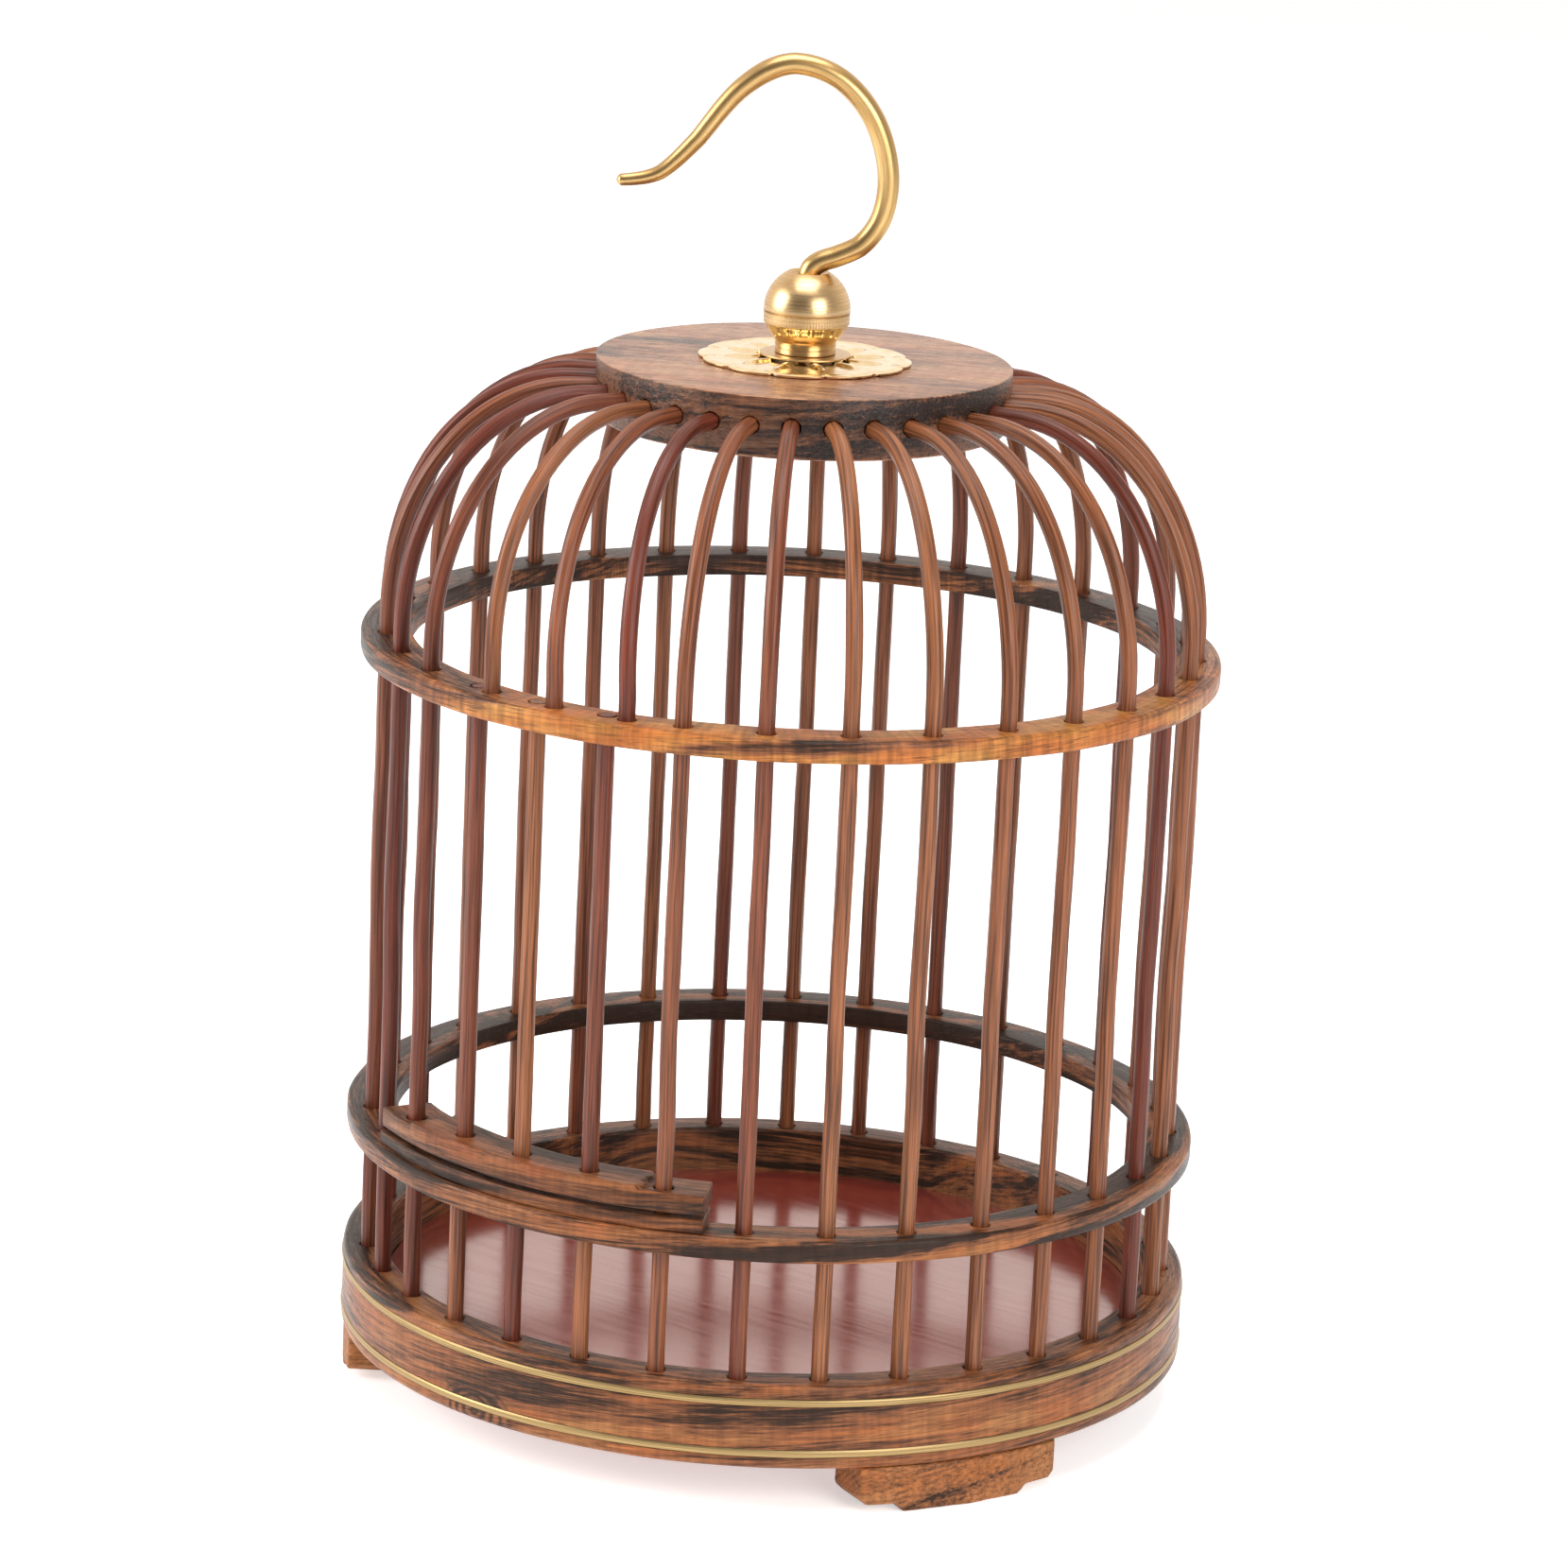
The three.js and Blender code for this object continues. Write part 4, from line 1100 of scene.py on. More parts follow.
@dataclass(frozen=True)
class Base:
    """The base ring with its brass inlays, the lacquered floor board and the three feet."""

    layout: Layout
    trees: Trees
    finishes: Finishes
    wall: float = 6.0
    ledge: float = 4.0
    edge: float = 1.0
    inlay_height: float = 1.0
    inlay_depth: float = 0.9
    inlay_crown: float = 0.14  # how far the inlay stands proud
    inlay_gap: float = 0.05
    socket: float = 4.0
    foot_width: float = 30.4
    foot_low_width: float = 18.0
    foot_flank: float = 1.2
    foot_chamfer: float = 1.0
    foot_depth: float = 7.0
    foot_turn: float = 5.5
    foot_edge: float = 0.35

    def build(self) -> None:
        """Builds and hands over every piece of the base."""
        self.ring()
        self.inlay("brass_inlay_lower")
        self.inlay("brass_inlay_upper")
        self.floor()
        for i, name in enumerate(("foot_front_left", "foot_front_right", "foot_back")):
            self.foot(name, DOOR_AZIMUTH + self.foot_turn + (i - 0.5) * 120.0)

    def ring(self) -> None:
        """The ring, with a ledge for the floor board, two grooves for the inlays and the bars' sockets."""
        radius, (bottom, top) = rim("base_ring"), level("base_ring")
        inner = radius - self.wall
        board = level("floor_board")[0] - self.inlay_gap
        corners = [(inner - self.ledge, bottom, 0.3), (radius, bottom, self.edge)]
        for name in ("brass_inlay_lower", "brass_inlay_upper"):
            under, over = level(name)
            under -= self.inlay_gap
            over += self.inlay_gap
            deep = radius - self.inlay_depth - self.inlay_gap
            corners += [(radius, under, 0.06), (deep, under, 0.02), (deep, over, 0.02), (radius, over, 0.06)]
        corners += [(radius, top, self.edge), (inner, top, 0.5), (inner, board, 0.02)]
        corners += [(inner - self.ledge, board, 0.2)]
        outline = filleted(corners)
        ring = turned("base_ring_wood", lambda _: outline, 288)
        hand_worked(ring, 0.06, 9.0)
        drill = self.layout.drill(self.layout.bar_circle, top - self.socket, top)
        self.trees.repeat(drill, self.layout.bars, DOOR_AZIMUTH)
        cut_out(ring, drill)
        hand_over(ring, self.finishes.base_wood, "root", "rosewood", "base_ring")

    def inlay(self, node: str) -> None:
        """A strip of brass let into the ring, crowned on its face.

        Args:
            node: The CAD node that it stands for.
        """
        radius, (bottom, top) = rim(node), level(node)
        inner = radius - self.inlay_depth
        outline = [(inner, bottom), (radius - 0.05, bottom)]
        for i in range(9):
            share = i / 8
            crown = self.inlay_crown * math.sqrt(max(0.0, 1 - (2 * share - 1) ** 2))
            outline.append((radius + crown, bottom + share * (top - bottom)))
        outline += [(radius - 0.05, top), (inner, top)]
        strip = turned(f"{node}_strip", lambda _: outline, 288)
        hand_worked(strip, 0.05, 7.0)
        hand_over(strip, self.finishes.inlay_brass, "root", "inlay_brass", node, sharp_from=50)

    def floor(self) -> None:
        """The floor board, with a slightly rounded rim and a surface that isn't quite flat."""
        radius, (bottom, top) = rim("floor_board"), level("floor_board")
        rings = [(radius * i / 12, top, 0.0) for i in range(11, 0, -1)]
        corners = [(0.0, bottom, 0.0), (radius, bottom, 0.2), (radius, top, 0.35), *rings, (0.0, top, 0.0)]
        outline = filleted(corners)
        board = turned("floor_board_panel", lambda _: outline, 144)
        hand_worked(board, 0.05, 22.0)
        hand_over(board, self.finishes.lacquer, "root", "floor_lacquer", "floor_board")

    def foot_underside(self, along: float) -> float:
        """The height of a foot's underside above the ground.

        Args:
            along: The distance from the foot's middle, in mm.

        Returns:
            The height in mm.
        """
        away = abs(along)
        rise = min(max(away - self.foot_low_width / 2, 0.0), self.foot_flank)
        return rise + max(away - self.foot_width / 2 + self.foot_chamfer, 0.0)

    def foot(self, node: str, azimuth: float) -> None:
        """A bracket foot, sawn to the ring's curve, with its edges broken.

        Args:
            node: The CAD node that it stands for.
            azimuth: Where its middle is.
        """
        top = level(node)[1]
        outer = rim("base_ring") - 0.4
        inner = outer - self.foot_depth
        half = self.foot_width / 2
        sections = []
        steps = 96
        for i in range(steps + 1):
            along = half * math.sin(math.pi * (i / steps - 0.5))
            margin = half - abs(along)
            inset = 0.0
            if margin < self.foot_edge:
                inset = self.foot_edge - math.sqrt(self.foot_edge**2 - (self.foot_edge - margin) ** 2)
            under = self.foot_underside(along) + inset
            low, high = inner + inset, outer - inset
            corners = [(low, under), (high, under), (high, top), (low, top)]
            outline = filleted([(r, z, self.foot_edge) for r, z in corners], 3)
            sections.append([Vector((math.sqrt(r * r - along**2), along, z)) * MM for r, z in outline])
        body = lofted(f"{node}_block", sections, Ends.CAPPED)
        body.data.transform(Matrix.Rotation(math.radians(azimuth), 4, "Z"))
        hand_worked(body, 0.12, 4.0)
        hand_over(body, self.finishes.foot_wood, "root", "rosewood", node, sharp_from=40)


# ---- Hoops --------------------------------------------------------------------------------------


@dataclass(frozen=True)
class Hoops:
    """The two turned hoops that hold the bars."""

    layout: Layout
    trees: Trees
    finishes: Finishes
    width: float = 7.0
    outer_edge: float = 0.6
    inner_edge: float = 0.35

    def build(self) -> None:
        """Builds and hands over both hoops."""
        self.lower()
        self.upper()

    def blank(self, node: str) -> tuple[Object, float, float]:
        """A hoop before its holes.

        Args:
            node: The CAD node.

        Returns:
            The hoop, and the levels of its bottom and its top in mm.
        """
        radius, (bottom, top) = rim(node), level(node)
        inner = radius - self.width
        corners = [(inner, bottom, self.inner_edge), (radius, bottom, self.outer_edge)]
        corners += [(radius, top, self.outer_edge), (inner, top, self.inner_edge)]
        outline = filleted(corners)
        hoop = turned(f"{node}_wood", lambda _: outline, 256)
        hand_worked(hoop, 0.08, 11.0)
        return hoop, bottom, top

    def lower(self) -> None:
        """The lower hoop, with a hole for every bar."""
        hoop, bottom, top = self.blank("lower_hoop")
        drill = self.layout.drill(self.layout.bar_circle, bottom - 1, top)
        self.trees.repeat(drill, self.layout.bars, DOOR_AZIMUTH)
        cut_out(hoop, drill)
        hand_over(hoop, self.finishes.lower_wood, "root", "rosewood", "lower_hoop")

    def upper(self) -> None:
        """The upper hoop, in which the door's bars slide beside the feet of the dome bars."""
        hoop, bottom, top = self.blank("upper_hoop")
        layout = self.layout
        arches = layout.drill(layout.bar_circle, bottom - 1, top)
        self.trees.repeat(arches, layout.arches, layout.first_arch, layout.pitch)
        slides = layout.drill(layout.door_circle, bottom - 1, top, layout.slide_gap)
        self.trees.repeat(slides, layout.door_count, layout.first_door, layout.pitch)
        feet = layout.drill(layout.bar_circle, top - layout.foot_socket, top)
        self.trees.repeat(feet, layout.door_count, layout.first_door + layout.foot_turn, layout.pitch)
        cut_out(hoop, arches, slides, feet)
        hand_over(hoop, self.finishes.upper_wood, "root", "rosewood", "upper_hoop")


# ---- Bars ---------------------------------------------------------------------------------------


@dataclass(frozen=True)
class Bars:
    """The bamboo bars: arched ones, short ones under the door and dome bars over it."""

    layout: Layout
    trees: Trees
    finishes: Finishes
    sides: int = 22
    straight: float = 3.2  # upright stretch over the upper hoop
    shoulder: float = 3.2  # level stretch outside the cap
    waviness: float = 1.2
    unevenness: float = 0.34
    step: float = 2.5  # from one point of a centre line to the next

    def build(self) -> None:
        """Builds and hands over the bars that stay put."""
        layout = self.layout
        root = frame["record"]["behaviour"]["bodies"]["root"]
        foot = level("cage_bar_01")[0]
        arched = [node for node in root if node.startswith(("cage_bar_", "guide_bar_"))]
        self.sweep("cage_bars", self.arch(foot), layout.arches, layout.first_arch, 11, "root", arched)
        top = level("short_bar_middle")[1]
        short = self.upright(foot, top, layout.bar_circle)
        nodes = [f"short_bar_{place}" for place in ("left", "middle", "right")]
        self.sweep("short_bars", short, layout.door_count, layout.first_door, 4, "root", nodes)
        dome = self.arch(level("dome_bar_middle")[0], layout.foot_turn)
        nodes = [f"dome_bar_{place}" for place in ("left", "middle", "right")]
        self.sweep("dome_bars", dome, layout.door_count, layout.first_door, 7, "root", nodes)

    def sweep(
        self,
        name: str,
        points: list[tuple[Vector, float, float]],
        count: int,
        first: float,
        seed: int,
        rides: str,
        nodes: Sequence[str],
    ) -> None:
        """Sweeps a set of bars along one centre line and hands it over.

        Args:
            name: The piece's name.
            points: The centre line's points, with their slack and girth.
            count: How many bars.
            first: The azimuth of the first.
            seed: The seed of their differences.
            rides: The body that they move with.
            nodes: The CAD nodes that they stand for.
        """
        bars = centre_line(name, points)
        values = {"Count": count, "First Azimuth": float(first), "Pitch": self.layout.pitch, "Seed": seed}
        values["Sides"] = self.sides
        values["Radius"] = self.layout.bar_radius * MM
        values["Waviness"] = self.waviness * MM
        values["Unevenness"] = self.unevenness * MM
        values["Material"] = self.finishes.bamboo
        run_tree(bars, self.trees.rods, values)
        merge(bars)
        hand_over(bars, self.finishes.bamboo, rides, "bamboo", *nodes, sharp_from=60)

    def slack(self, height: float) -> float:
        """How freely a bar may wander at a height: not at all where a ring holds it, most in between."""
        held = [level("base_ring")[1], sum(level("lower_hoop")) / 2, sum(level("upper_hoop")) / 2]
        for low, high in zip(held, held[1:]):
            if low < height < high:
                return math.sin(math.pi * (height - low) / (high - low)) ** 2 * (high - low) / 80
        return 0.0

    def upright(self, bottom: float, top: float, circle: float) -> list[tuple[Vector, float, float]]:
        """A straight centre line.

        Args:
            bottom: Its lower end, in mm.
            top: Its upper end.
            circle: The radius of the circle that it stands on.

        Returns:
            The points.
        """
        count = max(2, round((top - bottom) / self.step))
        heights = [bottom + (top - bottom) * i / count for i in range(count + 1)]
        return [(Vector((circle, 0, z)), self.slack(z), 1.0) for z in heights]

    def arch(self, bottom: float, lean: float = 0.0) -> list[tuple[Vector, float, float]]:
        """A centre line that rises, bends over a quarter of an ellipse and runs level into the cap.

        Args:
            bottom: Its foot's level, in mm.
            lean: How far round from its end its foot stands, in degrees.

        Returns:
            The points.
        """
        circle = self.layout.bar_circle
        springing = level("upper_hoop")[1] + self.straight
        crown = self.crown()
        innermost = rim("cap") + self.shoulder
        end = rim("cap") - 3.5
        points = self.upright(bottom, springing, circle)
        steps = 24
        for i in range(1, steps + 1):
            share = i / steps
            angle = share * math.pi / 2
            radius = innermost + (circle - innermost) * math.cos(angle)
            height = springing + (crown - springing) * math.sin(angle)
            points.append((Vector((radius, 0, height)), 0.3 * math.sin(math.pi * share) ** 2, 1.0))
        for i in range(1, 4):
            points.append((Vector((innermost + (end - innermost) * i / 3, 0, crown)), 0.0, 1.0))
        if not lean:
            return points
        rise = crown - springing
        turned_points = []
        for point, slack, girth in points:
            over = math.asin(min(max((point.z - springing) / rise, 0.0), 1.0)) / (math.pi / 2)
            angle = math.radians(lean * (1 - over))
            placed = Vector((point.x * math.cos(angle), point.x * math.sin(angle), point.z))
            turned_points.append((placed, slack, girth))
        return turned_points

    def crown(self) -> float:
        """The level at which the bars enter the cap, in mm."""
        return level("cage_bar_01")[1] - self.layout.bar_radius


# ---- Door ---------------------------------------------------------------------------------------


@dataclass(frozen=True)
class Door:
    """The fixed sill, and the rail with three bars that lifts between the guide bars."""

    layout: Layout
    trees: Trees
    finishes: Finishes
    bars: Bars
    overhang: float = 6.0  # of the rail past the guide bars
    sill_width: float = 7.0
    sill_set_back: float = 0.8
    rail_width: float = 7.2
    rail_set_back: float = 1.1
    rail_step: float = 0.5  # how much lower the rail's ends are
    step_inset: float = 3.0  # from each guide bar to the step
    edge: float = 0.25

    def build(self) -> None:
        """Builds and hands over every piece of the door."""
        radius = rim("lower_hoop")
        bottom, top = level("door_sill")
        outer = radius - self.sill_set_back
        sill = self.block("door_sill_wood", outer - self.sill_width, outer, bottom, lambda _, __: top)
        cut_out(sill, self.guide_drills(bottom, top, None))
        hand_over(sill, self.finishes.door_wood, "root", "rosewood", "door_sill")
        bottom, top = level("door_rail")
        outer = radius - self.rail_set_back
        rail = self.block("door_rail_wood", outer - self.rail_width, outer, bottom, self.rail_top(top))
        sockets = self.layout.drill(self.layout.door_circle, bottom + 1, top)
        self.trees.repeat(sockets, self.layout.door_count, self.layout.first_door, self.layout.pitch)
        lowered = top - self.rail_step
        cut_out(rail, self.guide_drills(bottom, lowered, self.layout.slide_gap), sockets)
        hand_over(rail, self.finishes.door_wood, "door", "rosewood", "door_rail")
        foot, head = level("door_bar_middle")
        line = self.bars.upright(foot, head, self.layout.door_circle)
        nodes = [f"door_bar_{place}" for place in ("left", "middle", "right")]
        straight = Bars(self.layout, self.trees, self.finishes, waviness=0.4, unevenness=0.15)
        straight.sweep("door_bars", line, self.layout.door_count, self.layout.first_door, 23, "door", nodes)

    def guide_drills(self, bottom: float, top: float, gap: float | None) -> Object:
        """The cutters of the two holes that the guide bars pass through."""
        layout = self.layout
        drill = layout.drill(layout.bar_circle, bottom - 1, top, gap)
        across = 2 * layout.guide_index * layout.pitch
        self.trees.repeat(drill, 2, DOOR_AZIMUTH - across / 2, across)
        return drill

    def rail_top(self, top: float) -> Callable[[float, float], float]:
        """The rail's upper face, lower past a rough step near each end.

        Args:
            top: The level of its middle stretch.

        Returns:
            The height for an azimuth from the door's middle and a radius.
        """
        layout = self.layout
        half = layout.guide_index * layout.pitch - math.degrees(self.step_inset / layout.bar_circle)

        def height(away: float, radius: float) -> float:
            ragged = 1.2 * noise.noise(Vector((radius * 0.9, math.copysign(4.0, away), 0.3)))
            past = abs(away) - half - ragged
            return top - self.rail_step * min(max(past / 0.5, 0.0), 1.0)

        return height

    def block(
        self, name: str, inner: float, outer: float, bottom: float, top_at: Callable[[float, float], float]
    ) -> Object:
        """A curved bar of wood over the door bay, with broken edges and ends.

        Args:
            name: The object's name.
            inner: Its inner radius in mm.
            outer: Its outer radius.
            bottom: Its underside's level.
            top_at: The level of its upper face for an azimuth from the door's middle and a radius.

        Returns:
            The new object.
        """
        layout = self.layout
        half = layout.guide_index * layout.pitch + math.degrees(self.overhang / layout.bar_circle)
        steps = 240
        across = 14
        sections = []
        for i in range(steps + 1):
            away = half * math.sin(math.pi * (i / steps - 0.5))
            margin = math.radians(half - abs(away)) * layout.bar_circle
            inset = 0.0
            if margin < self.edge:
                inset = self.edge - math.sqrt(self.edge**2 - (self.edge - margin) ** 2)
            low, high = inner + inset, outer - inset
            outline = [(low + self.edge, bottom + inset), (high - self.edge, bottom + inset)]
            outline += [(high - self.edge * 0.3, bottom + inset + self.edge * 0.3)]
            outline += [(high, bottom + inset + self.edge)]
            crest = top_at(away, high) - inset
            outline += [(high, crest - self.edge), (high - self.edge * 0.3, crest - self.edge * 0.3)]
            for k in range(across + 1):
                radius = high - self.edge - (high - low - 2 * self.edge) * k / across
                outline.append((radius, top_at(away, radius) - inset))
            crest = top_at(away, low) - inset
            outline += [(low + self.edge * 0.3, crest - self.edge * 0.3), (low, crest - self.edge)]
            outline += [(low, bottom + inset + self.edge)]
            outline += [(low + self.edge * 0.3, bottom + inset + self.edge * 0.3)]
            sections.append(at_azimuth(outline, DOOR_AZIMUTH + away))
        block = lofted(name, sections, Ends.CAPPED)
        hand_worked(block, 0.06, 5.0)
        return block


# ---- Cap ----------------------------------------------------------------------------------------


@dataclass(frozen=True)
class Cap:
    """The round wooden cap that the bars end in, with its rosette, washers and nut."""

    layout: Layout
    trees: Trees
    finishes: Finishes
    bars: Bars
    taper: float = 0.5
    socket: float = 3.6
    stud: float = 2.05
    rosette_lobes: int = 12
    rosette_turn: float = 3.5
    lobe_height: float = 0.95
    petal_from: float = 5.6
    petal_to: float = 11.0
    petal_width: float = 2.2
    petal_height: float = 0.42
    moat: float = 6.9  # radius inside which the plate is sunk between the petals
    moat_depth: float = 0.25
    flange_dish: float = 0.28  # how far the flange washer's rim is raised underneath
    nut_flats: float = 7.0

    def build(self) -> None:
        """Builds and hands over every piece of the cap."""
        self.wood()
        self.rosette()
        self.washer("flange_washer", 0.1, self.flange_dish)
        self.washer("stud_washer", 0.2)
        self.nut()

    def wood(self) -> None:
        """The turned cap, with a socket for every bar in its rim and a hole for the stud."""
        radius, (bottom, top) = rim("cap"), level("cap")
        crown = self.bars.crown()
        corners = [(self.stud, bottom, 0.1), (radius - self.taper, bottom, 0.45)]
        corners += [(radius - 0.05, crown, 0.3), (radius, top, 0.18), (self.stud, top, 0.1)]
        outline = filleted(corners)
        cap = turned("cap_wood", lambda _: outline, 256)
        hand_worked(cap, 0.05, 8.0)
        drill = self.layout.drill(0.0, -self.socket, 0.0)
        drill.data.transform(Matrix.Rotation(math.radians(90), 4, "Y"))
        drill.data.transform(Matrix.Translation(Vector((radius - 0.1, 0, crown)) * MM))
        self.trees.repeat(drill, self.layout.bars, DOOR_AZIMUTH)
        cut_out(cap, drill)
        hand_over(cap, self.finishes.cap_wood, "root", "cap_rosewood", "cap")

    def rosette_height(self, radius: float, share: float) -> float:
        """How far the rosette is raised at a place: a petal points to each notch between two lobes.

        Args:
            radius: The distance from the axis in mm.
            share: The way across one lobe, from -1 to 1.

        Returns:
            The height in mm.
        """
        sunk = self.moat_depth * min(max((self.moat - radius) / 0.4, 0.0), 1.0)
        reach = (radius - self.petal_from) / (self.petal_to - self.petal_from)
        if not 0 < reach < 1:
            return -sunk
        full = math.sin(math.pi * reach) ** 0.5
        off = (1 - abs(share)) * math.radians(180 / self.rosette_lobes) * radius
        inside = max(0.0, 1 - (2 * off / (self.petal_width * full)) ** 2)
        return self.petal_height * full * inside**1.3 - sunk * (1 - inside)

    def rosette(self) -> None:
        """The scalloped plate with pressed petals: one lobe, repeated all the way round."""
        low, high = level("rosette_plate")
        radius = rim("rosette_plate")
        rings = 56
        columns = 26
        pitch = 360.0 / self.rosette_lobes

        def outline(part: float) -> Outline:
            share = 2 * part - 1
            edge = radius - self.lobe_height * (1 - math.sqrt(max(0.0, 1 - share**2)) ** 0.8)
            points = [(self.stud, low), (edge - 0.12, low), (edge, low + 0.12)]
            for i in range(rings + 1):
                here = edge - (edge - self.stud) * i / rings
                fall = 0.12 * max(0.0, 1 - i / 1.5)
                lift = self.rosette_height(here, share)
                rim = 0.12 * math.exp(-(((edge - here - 0.9) / 0.35) ** 2))
                points.append((here, high - fall + lift + rim))
            return points

        plate = turned("rosette_plate_brass", outline, columns, -pitch / 2, pitch, Ends.OPEN)
        self.trees.repeat(plate, self.rosette_lobes, self.rosette_turn)
        brass = self.finishes.rosette_brass
        hand_over(plate, brass, "root", "polished_brass", "rosette_plate", sharp_from=50)

    def washer(self, node: str, edge: float, dish: float = 0.0) -> None:
        """A turned washer with rounded rims.

        Args:
            node: The CAD node that it stands for.
            edge: The rounding of its rims in mm.
            dish: How far its rim is raised underneath.
        """
        radius, (bottom, top) = rim(node), level(node)
        corners = [(self.stud, bottom, edge / 2), (0.72 * radius, bottom, edge)]
        corners += [(radius, bottom + dish, edge / 2), (radius, top, edge / 2), (self.stud, top, edge / 2)]
        outline = filleted(corners)
        washer = turned(f"{node}_brass", lambda _: outline, 96)
        hand_over(washer, self.finishes.turned_brass, "root", "brass", node, sharp_from=50)

    def nut(self) -> None:
        """The hexagon nut under the cap: one corner, repeated six times."""
        bottom, top = level("stud_nut")
        flat = self.nut_flats / 2

        def outline(part: float) -> Outline:
            away = math.radians(60 * part - 30)
            radius = flat / math.cos(away)
            fall = 0.6 * (radius - flat)
            under = [(self.stud + 0.3, bottom), (flat - 0.1, bottom), (radius, bottom + 0.05 + fall)]
            over = [(radius, top - 0.05 - fall), (flat - 0.1, top), (self.stud + 0.3, top)]
            return [*under, *over, (self.stud, top - 0.3), (self.stud, bottom + 0.3)]

        nut = turned("stud_nut_brass", outline, 8, -30.0, 60.0, Ends.OPEN)
        self.trees.repeat(nut, 6, 30.0)
        hand_over(nut, self.finishes.turned_brass, "root", "brass", "stud_nut", sharp_from=28)


# ---- Ball and hook ------------------------------------------------------------------------------


# The wire's centre line in the plane of the hook, in mm: [sideways, above the bottom of the ball's mouth].
HOOK_LINE = [
    (0.0, -2.75),
    (0.0, -0.85),
    (0.0, 0.25),
    (0.35, 1.45),
    (1.4, 2.35),
    (3.4, 3.15),
    (6.7, 4.75),
    (9.4, 8.35),
    (10.3, 14.55),
    (8.1, 22.15),
    (3.2, 27.65),
    (-3.2, 29.55),
    (-9.4, 26.65),
    (-15.9, 18.75),
    (-21.0, 13.75),
    (-26.9, 12.45),
]


@dataclass(frozen=True)
class BallAndHook:
    """The brass ball in two halves, and the wire hook that swivels in it."""

    trees: Trees
    finishes: Finishes
    radius: float = 6.0
    band: float = 5.96  # radius of the straight band round the upper half
    band_top: float = -0.25  # above the ball's centre
    seam: float = -1.9
    mouth: float = 2.9
    mouth_depth: float = 1.0
    bore: float = 1.62
    bowl: float = 5.72  # radius of the lower half at the seam
    neck: float = 4.2
    stud: float = 2.0
    marks: int = 84  # fine upright marks round the band
    mark_depth: float = 0.035
    wire: float = 1.5
    tip: float = 0.7
    taper_from: float = 0.74  # share of the line's points after which the wire tapers
    yaw: float = 36.5

    def build(self) -> None:
        """Builds and hands over the ball's halves and the hook."""
        self.upper_half()
        self.lower_half()
        self.hook()

    @property
    def centre(self) -> float:
        """The level of the ball's centre, in mm."""
        return level("ball_cap")[0] - self.seam

    def arc(self, start: float, end: float, steps: int, radius: float | None = None) -> Outline:
        """Points of the ball's outline between two heights above its centre.

        Args:
            start: The first height in mm.
            end: The last height.
            steps: The number of steps.
            radius: The arc's radius, or None for the ball's.

        Returns:
            The points.
        """
        size = self.radius if radius is None else radius
        first, last = math.asin(start / size), math.asin(end / size)
        angles = [first + (last - first) * i / steps for i in range(steps + 1)]
        return [(size * math.cos(a), self.centre + size * math.sin(a)) for a in angles]

    def upper_half(self) -> None:
        """The upper half: a band with fine marks, a dome, and the mouth that the hook comes out of."""
        lip = math.sqrt(self.radius**2 - self.mouth**2)
        centre = self.centre
        dome = self.arc(self.band_top + 0.05, lip, 26)
        throat = [(self.bore + 0.25, centre + lip - 0.55), (self.bore, centre + lip - self.mouth_depth)]
        inside = [(self.bore, centre + 1.0), (4.1, centre + 1.0), (4.1, centre + self.seam)]

        def outline(part: float) -> Outline:
            notch = self.mark_depth * max(0.0, 1 - abs(2 * part - 1) * 3)
            band = [(self.band - 0.15, centre + self.seam), (self.band - notch, centre + self.seam + 0.15)]
            band += [(self.band - notch, centre + self.band_top - 0.1), (self.band, centre + self.band_top)]
            return [*band, *dome, *throat, *inside]

        pitch = 360.0 / self.marks
        half = turned("ball_upper_half", outline, 6, 0.0, pitch, Ends.OPEN)
        self.trees.repeat(half, self.marks)
        hand_over(half, self.finishes.turned_brass, "root", "brass", "ball_cap", sharp_from=40)

    def lower_half(self) -> None:
        """The lower half: a stud, a neck with a groove, a bowl, and the spigot inside the upper half."""
        foot = level("ball_base")[0]
        seat = level("flange_washer")[1] + 0.05
        centre = self.centre
        neck_top = centre - math.sqrt(self.radius**2 - self.neck**2)
        thread = [(self.stud - 0.25 * (i % 2), foot + 0.35 * i) for i in range(1, 12)]
        outline = [(0.0, foot), (self.stud - 0.3, foot), *thread, (self.stud, seat)]
        outline += [(self.neck - 0.1, seat), (self.neck, seat + 0.1), (self.neck, seat + 0.72)]
        outline += [(self.neck - 0.1, seat + 0.8), (self.neck - 0.1, seat + 0.88), (self.neck, seat + 0.96)]
        outline += [(self.neck, neck_top - 0.15), (self.neck + 0.08, neck_top)]
        start = neck_top - centre
        for i in range(1, 15):
            share = i / 14
            height = start + (self.seam - 0.05 - start) * share
            outline.append((math.sqrt(self.radius**2 - height**2), centre + height))
        outline[-1] = (self.bowl, centre + self.seam - 0.05)
        outline += [(4.0, centre + self.seam - 0.05), (4.0, centre - 0.3), (3.0, centre - 0.3)]
        outline += [(3.0, centre - 1.4), (0.0, centre - 1.4)]
        half = turned("ball_lower_half", lambda _: outline, 120)
        hand_over(half, self.finishes.bowl_brass, "root", "brass", "ball_base", sharp_from=30)
        half.data.materials.append(self.finishes.turned_brass)
        for face in half.data.polygons:
            face.material_index = int(face.center.z < neck_top * MM)

